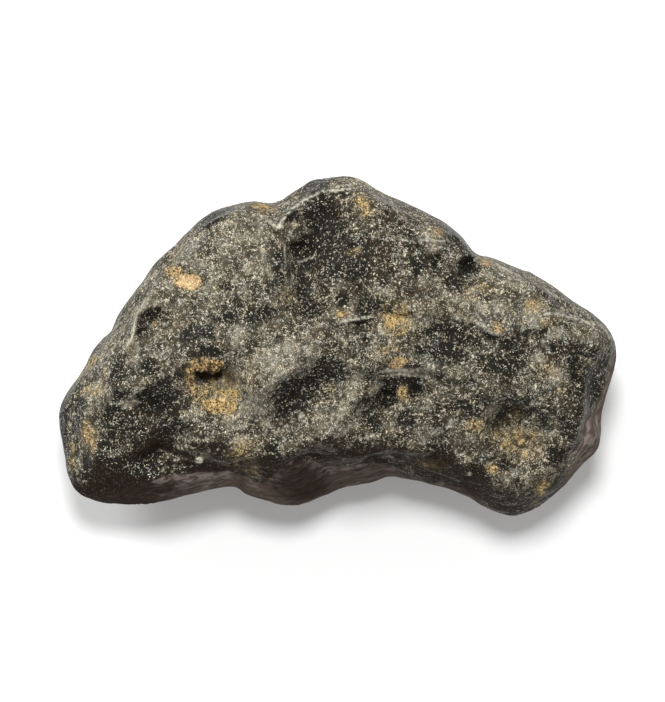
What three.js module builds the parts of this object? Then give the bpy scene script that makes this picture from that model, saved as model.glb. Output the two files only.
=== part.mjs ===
// A lunar meteorite: one whole stone, lying on its back with its pitted face up.
// Millimetres, +Z up. X runs along the stone, Y across it towards its humped edge.
// The origin is under the middle of the stone, on the surface that it rests on.

import * as THREE from 'three';
import { ImprovedNoise } from 'three/addons/math/ImprovedNoise.js';
import { mergeVertices } from 'three/addons/utils/BufferGeometryUtils.js';

// Driving dimensions of the whole stone.
const LENGTH = 62;
const WIDTH = 37.8;
const THICKNESS = 24.5;

// The mesh: rings from the middle of a side out to the rim, one more point per sector on each.
const RINGS = 28;
const SECTORS = 6;
const RING_CROWDING = 1.28;
const WELD_DISTANCE = 1e-4;
const MIDDLE = new THREE.Vector2(-0.8, -1.5);

// The outline as the face is looked down on, clockwise from the left end.
const OUTLINE = [
  // left end and the long shoulder
  [-30.9, -8.3], [-30.6, -6.3], [-29.8, -4.8], [-28.2, -2.6], [-27.1, -0.4], [-26.0, 0.9],
  [-25.1, 1.7], [-24.4, 3.3], [-23.1, 5.3], [-21.4, 7.5], [-20.6, 8.8], [-18.6, 10.7],
  [-15.3, 14.0], [-14.0, 14.9], [-12.0, 15.6], [-9.5, 16.1],
  // notch and the hump
  [-7.0, 15.9], [-5.1, 17.0], [-2.9, 18.3], [-0.8, 18.7], [1.1, 18.9], [2.6, 18.5],
  [5.3, 16.9], [7.0, 16.2], [11.4, 14.1], [13.6, 12.4],
  // second notch, the right shoulder and the right end
  [15.5, 10.2], [17.0, 9.9], [19.3, 9.0], [22.7, 7.5], [26.0, 5.1], [28.2, 3.7], [29.9, 2.1],
  [30.8, 0.2], [30.9, -1.7], [30.1, -4.5], [29.3, -7.4], [29.3, -9.5], [28.9, -11.4],
  [27.3, -13.1], [25.4, -15.3], [23.4, -17.1], [21.6, -18.3], [19.6, -18.9], [17.2, -18.3],
  // scalloped near edge, with a lobe left of its middle
  [15.0, -17.0], [12.7, -16.0], [8.2, -14.9], [5.8, -14.5], [3.8, -15.2], [0.6, -15.8],
  [-3.5, -17.5], [-5.7, -17.7], [-8.1, -17.1], [-10.1, -16.5], [-11.3, -15.7], [-13.6, -15.8],
  [-17.3, -16.7], [-20.3, -17.4], [-23.1, -17.6], [-26.7, -17.2], [-28.7, -16.3],
  [-29.8, -14.6], [-30.2, -12.2],
];

// The widest line round the stone leans: high on the far side, low on the near side.
const LEAN = new THREE.Vector2(-0.1, 0.995);
const RIM_HEIGHT = 11.5;
const RIM_LEAN = 2.8;
const RIM_WAVE = { across: 13, height: 2.6, slice: 2.6 };

// How finely the outline is measured, and how many points of it a distance is taken to.
const OUTLINE_DIVISIONS = 2400;
const RIM_SAMPLES = 900;

// The wall between rim and face: narrow and round on the far side, wide and straight near.
const WALL_WIDTH = 2.3;
const WALL_WIDTH_LEAN = 1.1;
const WALL_ROUNDNESS = 1.75;
const WALL_ROUNDNESS_LEAN = 0.4;
const WALL_RELIEF = { across: 5.5, depth: 1.5, share: 0.5 };
const UNDERCUT_WIDTH = 9.5;
const UNDERCUT_ROUNDNESS = 1.7;
const UNDERCUT_RELIEF = { across: 9, depth: 2.2, slice: 8.4 };

// The face is a low dome cut by broad worn slopes that fall away from its middle.
const FACE_HEIGHT = 22.6;
const FACE_FALL = new THREE.Vector2(0.0045, 0.009);
const SLOPE_BLEND = 1.4;
const FACE_SLOPES = [
  { name: 'left shoulder', at: [-13, 8], height: 20.6, towards: [-0.7, 0.71], fall: 0.36 },
  { name: 'left end', at: [-23, 1], height: 19.6, towards: [-0.95, 0.3], fall: 1.0 },
  { name: 'lower left', at: [-21, -9], height: 19.0, towards: [-0.25, -0.97], fall: 0.45 },
  { name: 'near edge', at: [-3, -10.5], height: 19.6, towards: [0.05, -1], fall: 0.5 },
  { name: 'near right', at: [12, -11], height: 19.4, towards: [0.1, -1], fall: 0.35 },
  { name: 'right end', at: [24, -3], height: 19.4, towards: [0.85, -0.5], fall: 0.3 },
  { name: 'right shoulder', at: [20, 5], height: 19.8, towards: [0.45, 0.89], fall: 0.3 },
];

// Hollows in the face. Each is an oval bowl: half sizes, turn in degrees, depth, wall steepness.
const FACE_HOLLOWS = [
  { name: 'crusted pit', at: [-13.6, -4.9], size: [3.4, 3.2], turn: 0, depth: 2.6, steep: 3 },
  { name: 'hole in the pit', at: [-13.6, -3.6], size: [2.1, 1.1], turn: -5, depth: 1.8, steep: 3 },
  { name: 'oval valley', at: [-3.8, -5.0], size: [4.5, 2.7], turn: 52, depth: 2.2, steep: 2.3 },
  { name: 'hole in the trough', at: [-4.2, 10.7], size: [1.3, 1.3], turn: 0, depth: 0.8, steep: 2 },
  { name: 'edge hole', at: [14.4, 8.8], size: [1.0, 1.1], turn: 0, depth: 1.6, steep: 3 },
  { name: 'edge hole, small', at: [11.1, 9.1], size: [1.0, 0.9], turn: 0, depth: 0.7, steep: 2 },
  { name: 'edge hole, far', at: [13.0, 11.8], size: [1.2, 0.9], turn: -30, depth: 0.7, steep: 2 },
  { name: 'hump dimple', at: [1.7, 10.7], size: [1.3, 1.1], turn: 20, depth: 0.5, steep: 2 },
  { name: 'tan hollow', at: [6.4, 2.9], size: [2.0, 2.3], turn: 0, depth: 0.7, steep: 3 },
  { name: 'middle dimple', at: [0.8, 3.8], size: [1.3, 1.0], turn: 20, depth: 0.5, steep: 2 },
  { name: 'ledge hole', at: [5.6, -5.6], size: [1.3, 1.2], turn: 20, depth: 1.4, steep: 2.5 },
  { name: 'ledge hole, small', at: [8.6, -5.2], size: [0.9, 0.9], turn: 0, depth: 0.8, steep: 2.5 },
  { name: 'right dimple', at: [21.5, 4.2], size: [1.8, 1.7], turn: 0, depth: 0.8, steep: 3 },
  { name: 'right scoop', at: [21.2, -10.3], size: [4.5, 3.6], turn: -25, depth: 1.9, steep: 2.6 },
  { name: 'head of the scoop', at: [19.1, -8.0], size: [2.3, 1.3], turn: 35, depth: 1.3, steep: 3 },
  { name: 'right end dent', at: [26.6, -4.8], size: [1.3, 1.7], turn: -40, depth: 0.9, steep: 2 },
  { name: 'left nick', at: [-20.1, 3.1], size: [1.5, 1.3], turn: 50, depth: 0.9, steep: 2 },
  { name: 'left hollow', at: [-20.1, -6.4], size: [2.2, 1.9], turn: 0, depth: 1.5, steep: 2.3 },
  { name: 'left end dish', at: [-27.2, -9.6], size: [1.5, 2.6], turn: 10, depth: 0.7, steep: 2 },
  { name: 'near dent', at: [11.4, -12.2], size: [1.5, 2.2], turn: 0, depth: 0.7, steep: 2 },
  { name: 'near dent, right', at: [15.4, -14.6], size: [1.7, 1.5], turn: -20, depth: 0.9, steep: 2 },
  { name: 'shoulder scar', at: [-16.9, 7.5], size: [1.7, 1.1], turn: -5, depth: 0.4, steep: 4 },
];

// Swellings of the face, described in the same way and standing proud of it.
const FACE_SWELLINGS = [
  { name: 'hump', at: [5.5, 9.5], size: [7.5, 5.5], turn: -25, height: 1.2, steep: 2 },
  { name: 'left lobe', at: [-25.2, -5.2], size: [3.2, 2.6], turn: 30, height: 0.9, steep: 2 },
  { name: 'left foot', at: [-25.0, -13.0], size: [3.6, 2.4], turn: 0, height: 0.9, steep: 2 },
  { name: 'near left rise', at: [-15.5, -10.6], size: [4.0, 1.9], turn: -8, height: 0.9, steep: 2 },
  { name: 'near middle rise', at: [4.5, -9.6], size: [4.2, 2.2], turn: -10, height: 0.7, steep: 2 },
  { name: 'right rise', at: [17.0, -3.4], size: [5.0, 2.6], turn: -15, height: 0.7, steep: 2 },
  { name: 'right toe', at: [18.0, -15.6], size: [3.4, 2.0], turn: -20, height: 0.8, steep: 2 },
  { name: 'shoulder rise', at: [-12.5, 10.5], size: [4.5, 3.0], turn: 40, height: 0.6, steep: 2 },
];

// Long forms of the face: a height above it (or depth, below zero) along a bent line.
const FACE_LINES = [
  { name: 'ridge by the pit', height: 1.2, width: 1.9,
    along: [[-8.3, -4.6], [-4.6, -2.2], [-0.8, -0.6]] },
  { name: 'ridge by the ledge', height: 1.4, width: 1.6,
    along: [[4.3, -1.6], [2.6, -4.1], [0.9, -6.5], [-0.9, -9.4]] },
  { name: 'trough', height: -1.8, width: 2.1,
    along: [[-1.2, 16.8], [-1.4, 13.2], [-3.5, 10.3], [-3.9, 7.0], [-3.4, 4.6]] },
  { name: 'edge of the hump', height: 1.1, width: 1.4,
    along: [[-5.9, 14.0], [-6.2, 10.7], [-6.1, 7.0]] },
  { name: 'crest of the hump', height: 0.6, width: 0.9,
    along: [[-5.1, 15.2], [-3.1, 16.6], [-0.3, 17.3], [3.1, 17.0], [7.0, 15.3]] },
  { name: 'middle gully', height: -0.8, width: 1.1, along: [[2.5, 7.4], [3.0, 4.6], [3.3, 0.4]] },
  { name: 'left crest', height: 1.0, width: 0.9,
    along: [[-20.9, 5.4], [-22.1, 3.5], [-22.5, 1.4], [-23.2, -0.2]] },
  { name: 'left gully', height: -1.1, width: 1.1, along: [[-18.4, -10.2], [-20.3, -11.6], [-22.2, -13.0]] },
  { name: 'left short crest', height: 0.5, width: 0.9, along: [[-24.4, -4.8], [-22.6, -4.2], [-21.0, -4.3]] },
  { name: 'right crest', height: 0.6, width: 0.9, along: [[23.1, 3.2], [26.1, 2.9], [28.3, 1.7]] },
];

// Steps of the face: it drops on the right of each line, and the drop fades out with distance.
const FACE_STEPS = [
  { name: 'ledge', drop: 1.3, edge: 0.9, reach: 2.4, along: [[4.2, -2.9], [7.1, -2.3], [9.2, -2.9]] },
  { name: 'right step', drop: 1.1, edge: 1.6, reach: 3.6,
    along: [[9.0, 3.1], [12.4, 2.6], [15.3, 2.3], [18.1, 0.9], [20.4, 1.2]] },
  { name: 'near left lip', drop: 1.6, edge: 0.9, reach: 2.6,
    along: [[-17.6, -12.5], [-14.8, -13.0], [-11.9, -13.1]] },
  { name: 'near middle lip', drop: 1.6, edge: 0.9, reach: 2.6,
    along: [[-9.6, -14.4], [-6.0, -13.6], [-3.2, -12.2], [1.6, -12.0], [5.6, -12.9], [8.5, -13.6]] },
  { name: 'right lip', drop: 1.1, edge: 0.9, reach: 2.2,
    along: [[25.0, -15.0], [26.4, -12.5], [28.1, -8.4], [29.0, -4.4], [30.6, -0.4]] },
];

// The underside: a worn flat that the stone rests on, and lower relief around it.
const FLAT_MIDDLE = new THREE.Vector2(0.5, -2.0);
const FLAT_SIZE = new THREE.Vector2(16, 7);
const FLAT_WAVE = { across: 9, share: 0.5, slice: 5.2 };
const BACK_RISE = 3.6;
const BACK_RISE_POWER = 1.4;
const BACK_RELIEF_START = 0.5;
const BACK_HOLLOWS = [
  { name: 'back bowl', at: [-20.5, 1.5], size: [4.2, 3.2], turn: 35, depth: 1.7, steep: 2.4 },
  { name: 'back scoop', at: [12, 9.5], size: [4.6, 2.6], turn: -30, depth: 1.6, steep: 2.2 },
  { name: 'back dent', at: [22.5, -4.5], size: [2.6, 3.4], turn: 15, depth: 1.3, steep: 2.2 },
  { name: 'back pit', at: [-6.5, 10.5], size: [2.4, 2.0], turn: 0, depth: 1.4, steep: 3 },
  { name: 'back gouge', at: [-21.5, -12.0], size: [3.4, 1.8], turn: -15, depth: 1.2, steep: 2.4 },
];
const BACK_SWELLINGS = [
  { name: 'back knob', at: [-14.5, 8.0], size: [4.0, 3.0], turn: 40, height: 1.2, steep: 2 },
  { name: 'back ridge', at: [20, 3.5], size: [4.5, 2.2], turn: -35, height: 1.1, steep: 2 },
];

// Small unevenness all over: size of the lumps and their height. Face and back take theirs
// from two levels of the same noise, so that they differ.
const LUMPS = [
  { across: 6.5, height: 0.55 },
  { across: 2.9, height: 0.3 },
];
const LUMPS_SHIFT = new THREE.Vector3(11.3, 4.7, 7.9);
const FACE_LUMPS_LEVEL = 0;
const BACK_LUMPS_LEVEL = 30;

// Shorter than this, the way out from the middle of the stone has no direction.
const NO_LENGTH = 1e-4;

const noise = new ImprovedNoise();

const rimCurve = new THREE.CatmullRomCurve3(
  OUTLINE.map(([x, y]) => new THREE.Vector3(x, y, 0)), true, 'centripetal');
rimCurve.arcLengthDivisions = OUTLINE_DIVISIONS;
const rimPoints = rimCurve.getSpacedPoints(RIM_SAMPLES);

function distanceToRim(x, y) {
  let nearest = Infinity;
  for (const point of rimPoints) {
    nearest = Math.min(nearest, Math.hypot(x - point.x, y - point.y));
  }
  return nearest;
}

// How far a place faces the high side of the leaning rim, from -1 to 1.
function leanAt(x, y) {
  const away = new THREE.Vector2(x, y).sub(MIDDLE);
  return away.length() < NO_LENGTH ? 0 : away.normalize().dot(LEAN);
}

function rimHeightAt(x, y) {
  const wave = noise.noise(x / RIM_WAVE.across, y / RIM_WAVE.across, RIM_WAVE.slice);
  return RIM_HEIGHT + RIM_LEAN * leanAt(x, y) + RIM_WAVE.height * wave;
}

// A quarter round from 0 at the rim to 1 where the wall ends; roundness 1 is a straight bevel.
function shoulder(distance, width, roundness) {
  const t = Math.min(distance / width, 1);
  return Math.pow(1 - Math.pow(1 - t, roundness), 1 / roundness);
}

function smoothMin(a, b, blend) {
  const h = Math.max(blend - Math.abs(a - b), 0) / blend;
  return Math.min(a, b) - h * h * blend / 4;
}

// An oval bell, 1 in its middle; a larger steepness gives a flat floor and steep walls.
function oval(x, y, { at, size, turn, steep }) {
  const angle = THREE.MathUtils.degToRad(turn);
  const dx = x - at[0];
  const dy = y - at[1];
  const u = (dx * Math.cos(angle) + dy * Math.sin(angle)) / size[0];
  const v = (-dx * Math.sin(angle) + dy * Math.cos(angle)) / size[1];
  return Math.exp(-Math.pow(u * u + v * v, steep / 2));
}

// Distance to a bent line, and the side of it on which a place lies (1 is its right side).
function fromLine(x, y, along) {
  let best = { distance: Infinity, side: 1 };
  for (let i = 0; i + 1 < along.length; i += 1) {
    const [ax, ay] = along[i];
    const dx = along[i + 1][0] - ax;
    const dy = along[i + 1][1] - ay;
    const t = THREE.MathUtils.clamp(((x - ax) * dx + (y - ay) * dy) / (dx * dx + dy * dy), 0, 1);
    const ox = x - ax - t * dx;
    const oy = y - ay - t * dy;
    const distance = Math.hypot(ox, oy);
    if (distance < best.distance) {
      best = { distance, side: Math.sign(dy * ox - dx * oy) || 1 };
    }
  }
  return best;
}

function lineHeight(x, y, { height, width, along }) {
  const { distance } = fromLine(x, y, along);
  return height * Math.exp(-Math.pow(distance / width, 2));
}

function stepDrop(x, y, { drop, edge, reach, along }) {
  const { distance, side } = fromLine(x, y, along);
  const across = THREE.MathUtils.smoothstep(side * distance, -edge, edge);
  const fade = Math.exp(-Math.pow(distance / reach, 2));
  return drop * (across - 0.5) * fade;
}

function lumpsAt(x, y, z) {
  let total = 0;
  for (const { across, height } of LUMPS) {
    const place = new THREE.Vector3(x, y, z).divideScalar(across).add(LUMPS_SHIFT);
    total += height * noise.noise(place.x, place.y, place.z);
  }
  return total;
}

function faceHeightAt(x, y) {
  let height = FACE_HEIGHT - FACE_FALL.x * x * x - FACE_FALL.y * y * y;
  for (const slope of FACE_SLOPES) {
    const run = (x - slope.at[0]) * slope.towards[0] + (y - slope.at[1]) * slope.towards[1];
    height = smoothMin(height, slope.height - slope.fall * run, SLOPE_BLEND);
  }
  for (const swelling of FACE_SWELLINGS) {
    height += swelling.height * oval(x, y, swelling);
  }
  for (const hollow of FACE_HOLLOWS) {
    height -= hollow.depth * oval(x, y, hollow);
  }
  for (const line of FACE_LINES) {
    height += lineHeight(x, y, line);
  }
  for (const step of FACE_STEPS) {
    height -= stepDrop(x, y, step);
  }
  return height + lumpsAt(x, y, FACE_LUMPS_LEVEL);
}

// How far outside the worn flat a place lies: 0 on the flat.
function outsideFlat(x, y) {
  const u = (x - FLAT_MIDDLE.x) / FLAT_SIZE.x;
  const v = (y - FLAT_MIDDLE.y) / FLAT_SIZE.y;
  const { across, share, slice } = FLAT_WAVE;
  const wave = share * noise.noise(x / across, y / across, slice);
  return Math.max(Math.hypot(u, v) - 1 + wave, 0);
}

function backHeightAt(x, y) {
  const outside = outsideFlat(x, y);
  const relief = THREE.MathUtils.smoothstep(outside, 0, BACK_RELIEF_START);
  let height = BACK_RISE * Math.pow(outside, BACK_RISE_POWER);
  for (const hollow of BACK_HOLLOWS) {
    height += relief * hollow.depth * oval(x, y, hollow);
  }
  for (const swelling of BACK_SWELLINGS) {
    height -= relief * swelling.height * oval(x, y, swelling);
  }
  return Math.max(height + relief * lumpsAt(x, y, BACK_LUMPS_LEVEL), 0);
}

function faceSurface(x, y) {
  const lean = leanAt(x, y);
  const width = WALL_WIDTH - WALL_WIDTH_LEAN * lean;
  const roundness = WALL_ROUNDNESS + WALL_ROUNDNESS_LEAN * lean;
  const rim = rimHeightAt(x, y);
  return rim + (faceHeightAt(x, y) - rim) * shoulder(distanceToRim(x, y), width, roundness);
}

function backSurface(x, y) {
  const rim = rimHeightAt(x, y);
  const { across, depth, slice } = UNDERCUT_RELIEF;
  const width = UNDERCUT_WIDTH + depth * noise.noise(x / across, y / across, slice);
  const share = shoulder(distanceToRim(x, y), width, UNDERCUT_ROUNDNESS);
  return rim + (backHeightAt(x, y) - rim) * share;
}

// Dents in the walls: a point between rim and face moves in towards the middle of the stone.
// Its share of the rise is 0 at the rim and 1 on the face.
function dentWall(point, rise) {
  const { across, depth, share: dented } = WALL_RELIEF;
  const waves = dented + noise.noise(point.x / across, point.y / across, point.z / across);
  const inward = depth * Math.max(waves, 0) * Math.sin(Math.PI * rise) ** 2;
  const away = new THREE.Vector2(point.x, point.y).sub(MIDDLE).normalize();
  point.x -= away.x * inward;
  point.y -= away.y * inward;
}

// One side of the stone, from its middle out to the rim. Ring i has i points in each sector,
// and the triangles between two rings run in like sectors.
function sideTriangles(surface, facesUp) {
  const rings = [[new THREE.Vector3(MIDDLE.x, MIDDLE.y, surface(MIDDLE.x, MIDDLE.y))]];
  for (let i = 1; i <= RINGS; i += 1) {
    const share = 1 - Math.pow(1 - i / RINGS, RING_CROWDING);
    const ring = [];
    for (let j = 0; j < SECTORS * i; j += 1) {
      const rim = rimCurve.getPointAt(j / (SECTORS * i));
      const x = MIDDLE.x + (rim.x - MIDDLE.x) * share;
      const y = MIDDLE.y + (rim.y - MIDDLE.y) * share;
      const rimHeight = rimHeightAt(x, y);
      const point = new THREE.Vector3(x, y, i === RINGS ? rimHeight : surface(x, y));
      const wholeRise = (facesUp ? FACE_HEIGHT : 0) - rimHeight;
      dentWall(point, THREE.MathUtils.clamp((point.z - rimHeight) / wholeRise, 0, 1));
      ring.push(point);
    }
    rings.push(ring);
  }
  const corners = [];
  const add = (a, b, c) => corners.push(...(facesUp ? [a, c, b] : [a, b, c]));
  for (let i = 1; i <= RINGS; i += 1) {
    const outer = rings[i];
    const inner = rings[i - 1];
    for (let sector = 0; sector < SECTORS; sector += 1) {
      for (let j = 0; j < i; j += 1) {
        const from = outer[sector * i + j];
        const to = outer[(sector * i + j + 1) % outer.length];
        const within = inner[(sector * (i - 1) + j) % inner.length];
        add(from, to, within);
        if (j + 1 < i) {
          add(within, to, inner[(sector * (i - 1) + j + 1) % inner.length]);
        }
      }
    }
  }
  return corners;
}

function stoneGeometry() {
  const corners = [...sideTriangles(faceSurface, true), ...sideTriangles(backSurface, false)];
  const soup = new THREE.BufferGeometry().setFromPoints(corners);
  const geometry = mergeVertices(soup, WELD_DISTANCE);
  geometry.computeBoundingBox();
  const size = geometry.boundingBox.getSize(new THREE.Vector3());
  geometry.scale(LENGTH / size.x, WIDTH / size.y, THICKNESS / size.z);
  geometry.computeBoundingBox();
  const centre = geometry.boundingBox.getCenter(new THREE.Vector3());
  geometry.translate(-centre.x, -centre.y, -geometry.boundingBox.min.z);
  geometry.computeVertexNormals();
  return geometry;
}

const stoneMaterial = new THREE.MeshStandardMaterial({ color: 0x3a3833, roughness: 0.62, metalness: 0 });

const stone = new THREE.Mesh(stoneGeometry(), stoneMaterial);
stone.name = 'stone';

const meteorite = new THREE.Group();
meteorite.add(stone);

export default meteorite;
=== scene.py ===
# %% [markdown]
# # A lunar meteorite
# The stone is one natural piece: a dark, desert-worn lump, about as long as a matchbox, with
# pits and ridges on its face, pale dust in its grain and tan soil packed into its hollows.
# Its main shape comes ready made from the construction model, which this lesson loads first
# and never changes. Everything that a camera close by would see is made here.

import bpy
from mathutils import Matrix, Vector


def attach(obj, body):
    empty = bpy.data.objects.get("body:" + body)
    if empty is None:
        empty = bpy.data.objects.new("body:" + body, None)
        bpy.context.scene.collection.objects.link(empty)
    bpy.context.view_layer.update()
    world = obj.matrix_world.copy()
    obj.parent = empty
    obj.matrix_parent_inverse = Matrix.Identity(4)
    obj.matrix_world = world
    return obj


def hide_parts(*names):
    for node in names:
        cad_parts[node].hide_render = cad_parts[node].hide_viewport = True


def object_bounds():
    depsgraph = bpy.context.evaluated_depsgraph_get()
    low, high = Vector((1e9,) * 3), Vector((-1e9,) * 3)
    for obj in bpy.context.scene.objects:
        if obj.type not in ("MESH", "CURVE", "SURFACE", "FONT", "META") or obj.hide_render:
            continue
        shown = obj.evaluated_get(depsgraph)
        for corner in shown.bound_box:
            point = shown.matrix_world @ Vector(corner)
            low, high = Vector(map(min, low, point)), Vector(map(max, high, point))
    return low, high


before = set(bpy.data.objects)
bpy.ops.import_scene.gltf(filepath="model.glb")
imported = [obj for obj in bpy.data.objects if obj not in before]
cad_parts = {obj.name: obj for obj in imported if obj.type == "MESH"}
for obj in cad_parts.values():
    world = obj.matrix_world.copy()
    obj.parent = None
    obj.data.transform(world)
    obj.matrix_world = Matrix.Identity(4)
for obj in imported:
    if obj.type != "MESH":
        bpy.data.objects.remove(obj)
cad_low, cad_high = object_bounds()
print("construction box, mm:", [round(side * 1000, 2) for side in cad_high - cad_low])

# %% [markdown]
# ## Tools for the whole lesson
# Blender works in metres. A stone of this size is easier to talk about in millimetres, so
# every size below is written in millimetres and multiplied by MM where Blender needs it.

# %% Modules and units
import math

import bmesh
import bpy
import numpy as np
from mathutils import Vector, noise

MM = 0.001
stone_length = (cad_high.x - cad_low.x) / MM
scene = bpy.context.scene
print("stone length, mm:", round(stone_length, 2))

# %% [markdown]
# ## The camera
# The stone lies on its back and the photograph was taken square on to its face, so the
# camera looks straight down. Its place follows from where the stone sits in the picture:
# the stone's length covers a known number of the picture's pixels, and its middle lies a
# little off the picture's middle. A very long lens is used, because a long lens from far
# away keeps the near face and the far rim at the same scale, as a product picture does.

# %% Set up the camera
PICTURE_WIDE, PICTURE_HIGH = 665, 702
STONE_LONG_PIXELS = 557
STONE_MIDDLE_PIXEL = (337.5, 346.5)
LENS = 400.0
SENSOR = 36.0
RIM_HEIGHT = 11.0
CLIP_END = 10

pixel = stone_length / STONE_LONG_PIXELS
camera_x = (PICTURE_WIDE / 2 - STONE_MIDDLE_PIXEL[0]) * pixel
camera_y = (STONE_MIDDLE_PIXEL[1] - PICTURE_HIGH / 2) * pixel
camera_height = RIM_HEIGHT + LENS * PICTURE_HIGH * pixel / SENSOR

camera_data = bpy.data.cameras.new("camera")
camera_data.lens = LENS
camera_data.sensor_width = SENSOR
camera_data.clip_end = CLIP_END
camera = bpy.data.objects.new("camera", camera_data)
camera.location = Vector((camera_x, camera_y, camera_height)) * MM
scene.collection.objects.link(camera)
scene.camera = camera
print("one pixel is", round(pixel, 4), "mm; camera height, mm:", round(camera_height))

# %% [markdown]
# ## The studio
# The real picture has a white ground with a short soft shadow under the stone, and soft
# light from the upper left. One lamp can't do both, so there are two. The high lamp stands
# almost overhead and throws the short shadow. The side lamp is lower and larger: it models
# the pits and ridges. A pale world fills the shadows, and it is what the stone's smooth
# edges mirror as a grey sheen. The floor is a little overexposed, as on a light table.
# The high lamp is kept out of mirror images, as a polarising filter would do, so that only
# the side lamp glints on the stone.

# %% Floor, world and lights
FLOOR_HALF = 3.0
FLOOR_DROP = 0.02
FLOOR_WHITE = (0.9, 0.9, 0.9, 1)
FLOOR_ROUGHNESS = 0.9
FLOOR_MIRROR_LIGHT = 0.1
FLOOR_GLOW = 0.12
WORLD_GLOW = 0.33

floor_mesh = bpy.data.meshes.new("floor")
signs = ((-1, -1), (1, -1), (1, 1), (-1, 1))
corners = [(x * FLOOR_HALF, y * FLOOR_HALF, -FLOOR_DROP * MM) for x, y in signs]
floor_mesh.from_pydata(corners, [], [(0, 1, 2, 3)])
floor = bpy.data.objects.new("floor", floor_mesh)
scene.collection.objects.link(floor)

floor_paint = bpy.data.materials.new("floor_paint")
floor_paint.use_nodes = True
floor_shader = floor_paint.node_tree.nodes["Principled BSDF"]
floor_shader.inputs["Base Color"].default_value = FLOOR_WHITE
floor_shader.inputs["Roughness"].default_value = FLOOR_ROUGHNESS
floor_shader.inputs["Specular IOR Level"].default_value = FLOOR_MIRROR_LIGHT
floor_shader.inputs["Emission Color"].default_value = (1, 1, 1, 1)
floor_shader.inputs["Emission Strength"].default_value = FLOOR_GLOW
floor_mesh.materials.append(floor_paint)

world = bpy.data.worlds.new("studio")
world.use_nodes = True
world.node_tree.nodes["Background"].inputs["Color"].default_value = (1, 1, 1, 1)
world.node_tree.nodes["Background"].inputs["Strength"].default_value = WORLD_GLOW
scene.world = world


def area_light(name, direction, distance, size, power):
    """A round soft light that looks at the stone from the given direction."""
    data = bpy.data.lights.new(name, "AREA")
    data.shape = "DISK"
    data.size = size
    data.energy = power
    light = bpy.data.objects.new(name, data)
    towards = Vector(direction).normalized()
    light.location = towards * distance + Vector((0, 0, RIM_HEIGHT * MM))
    light.rotation_euler = towards.to_track_quat("Z", "Y").to_euler()
    scene.collection.objects.link(light)
    return light


side_lamp = area_light("side_lamp", (-0.50, 0.62, 0.60), distance=0.6, size=0.20, power=1.5)
high_lamp = area_light("high_lamp", (0.0, 0.32, 1.0), distance=0.8, size=0.20, power=5.0)
high_lamp.visible_glossy = False
scene.view_settings.view_transform = "Standard"
print("lights:", [light.name for light in (side_lamp, high_lamp)])

# %% [markdown]
# ## The blank
# A sculptor starts from a rough blank. Ours is a copy of the construction solid, which has
# flat facets about a millimetre wide. A subdivision modifier would refine it evenly all
# over, but the face is what people look at. So only edges longer than a limit are cut in
# half, and the limit is finer on the face. Each new point is pushed out to the curve that
# the facets stand for: the normals at the edge's two ends say how much the surface bends.

# %% Points and triangles of the solid as arrays
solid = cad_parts["stone"].data
solid.calc_loop_triangles()
loose_points = np.empty(len(solid.vertices) * 3)
solid.vertices.foreach_get("co", loose_points)
loose_points = loose_points.reshape(-1, 3) / MM
corner_numbers = np.empty(len(solid.loop_triangles) * 3, np.int64)
solid.loop_triangles.foreach_get("vertices", corner_numbers)

# The same place can be stored several times, once for each facet. Equal places are merged.
rounded = np.round(loose_points, 4)
_, first, merged = np.unique(rounded, axis=0, return_index=True, return_inverse=True)
points = loose_points[first]
triangles = merged.ravel()[corner_numbers].reshape(-1, 3)
print("construction solid:", len(points), "points,", len(triangles), "triangles")

# %% [markdown]
# ## Normals and edges
# Two things are asked of the surface again and again: which way it faces at each point, and
# which points are neighbours. Numpy answers both for all points at once, which is a hundred
# times quicker than a Python loop.

# %% Normals and edges from arrays
def gather(index, values, count):
    """Adds up rows of values into one row for each point."""
    return np.stack([np.bincount(index, values[:, k], count) for k in range(3)], axis=1)


def normals_of(points, triangles):
    """The outward direction at each point."""
    a, b, c = (points[triangles[:, k]] for k in range(3))
    across = np.cross(b - a, c - a)
    total = sum(gather(triangles[:, k], across, len(points)) for k in range(3))
    return total / np.linalg.norm(total, axis=1, keepdims=True)


def edges_of(triangles, count):
    """Every edge once, and for each triangle the numbers of its three edges."""
    sides = np.sort(triangles[:, [[0, 1], [1, 2], [2, 0]]], axis=2)
    keys, which = np.unique(sides[..., 0] * count + sides[..., 1], return_inverse=True)
    return np.stack([keys // count, keys % count], axis=1), which.reshape(-1, 3)


print("edges:", len(edges_of(triangles, len(points))[0]))

# %% [markdown]
# ## Choosing the edges to cut
# Each edge is measured against the limit for its place, and one that is too long gets a new
# point. In the edge's flat middle that point would lie a little inside a round surface. So
# each end pushes it out by a quarter of its depth under the plane that touches the surface
# at that end. It is rougher than a true curve, but it is quick and keeps every form.

# %% Choose the edges to cut
FACE_EDGE = 0.30
SIDE_EDGE = 0.62
FACE_TILT = 0.3
BEND_SHARE = 0.25


def halve_long_edges(points, triangles):
    """The points with new ones on long edges, and the new points on each triangle's sides."""
    normals = normals_of(points, triangles)
    ends, sides = edges_of(triangles, len(points))
    start, stop = points[ends[:, 0]], points[ends[:, 1]]
    flat_middle = (start + stop) / 2
    upward = normals[ends].mean(axis=1)[:, 2]
    on_top = (upward > FACE_TILT) & (flat_middle[:, 2] > RIM_HEIGHT + 1)
    cut = np.linalg.norm(stop - start, axis=1) > np.where(on_top, FACE_EDGE, SIDE_EDGE)
    middle = flat_middle.copy()
    for end in (0, 1):
        normal = normals[ends[:, end]]
        above = ((flat_middle - points[ends[:, end]]) * normal).sum(axis=1, keepdims=True)
        middle -= BEND_SHARE * above * normal
    number = np.full(len(ends), -1)
    number[cut] = len(points) + np.arange(cut.sum())
    return np.concatenate([points, middle[cut]]), number[sides]


halved, _ = halve_long_edges(points, triangles)
print("new points in the first round:", len(halved) - len(points))

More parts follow.
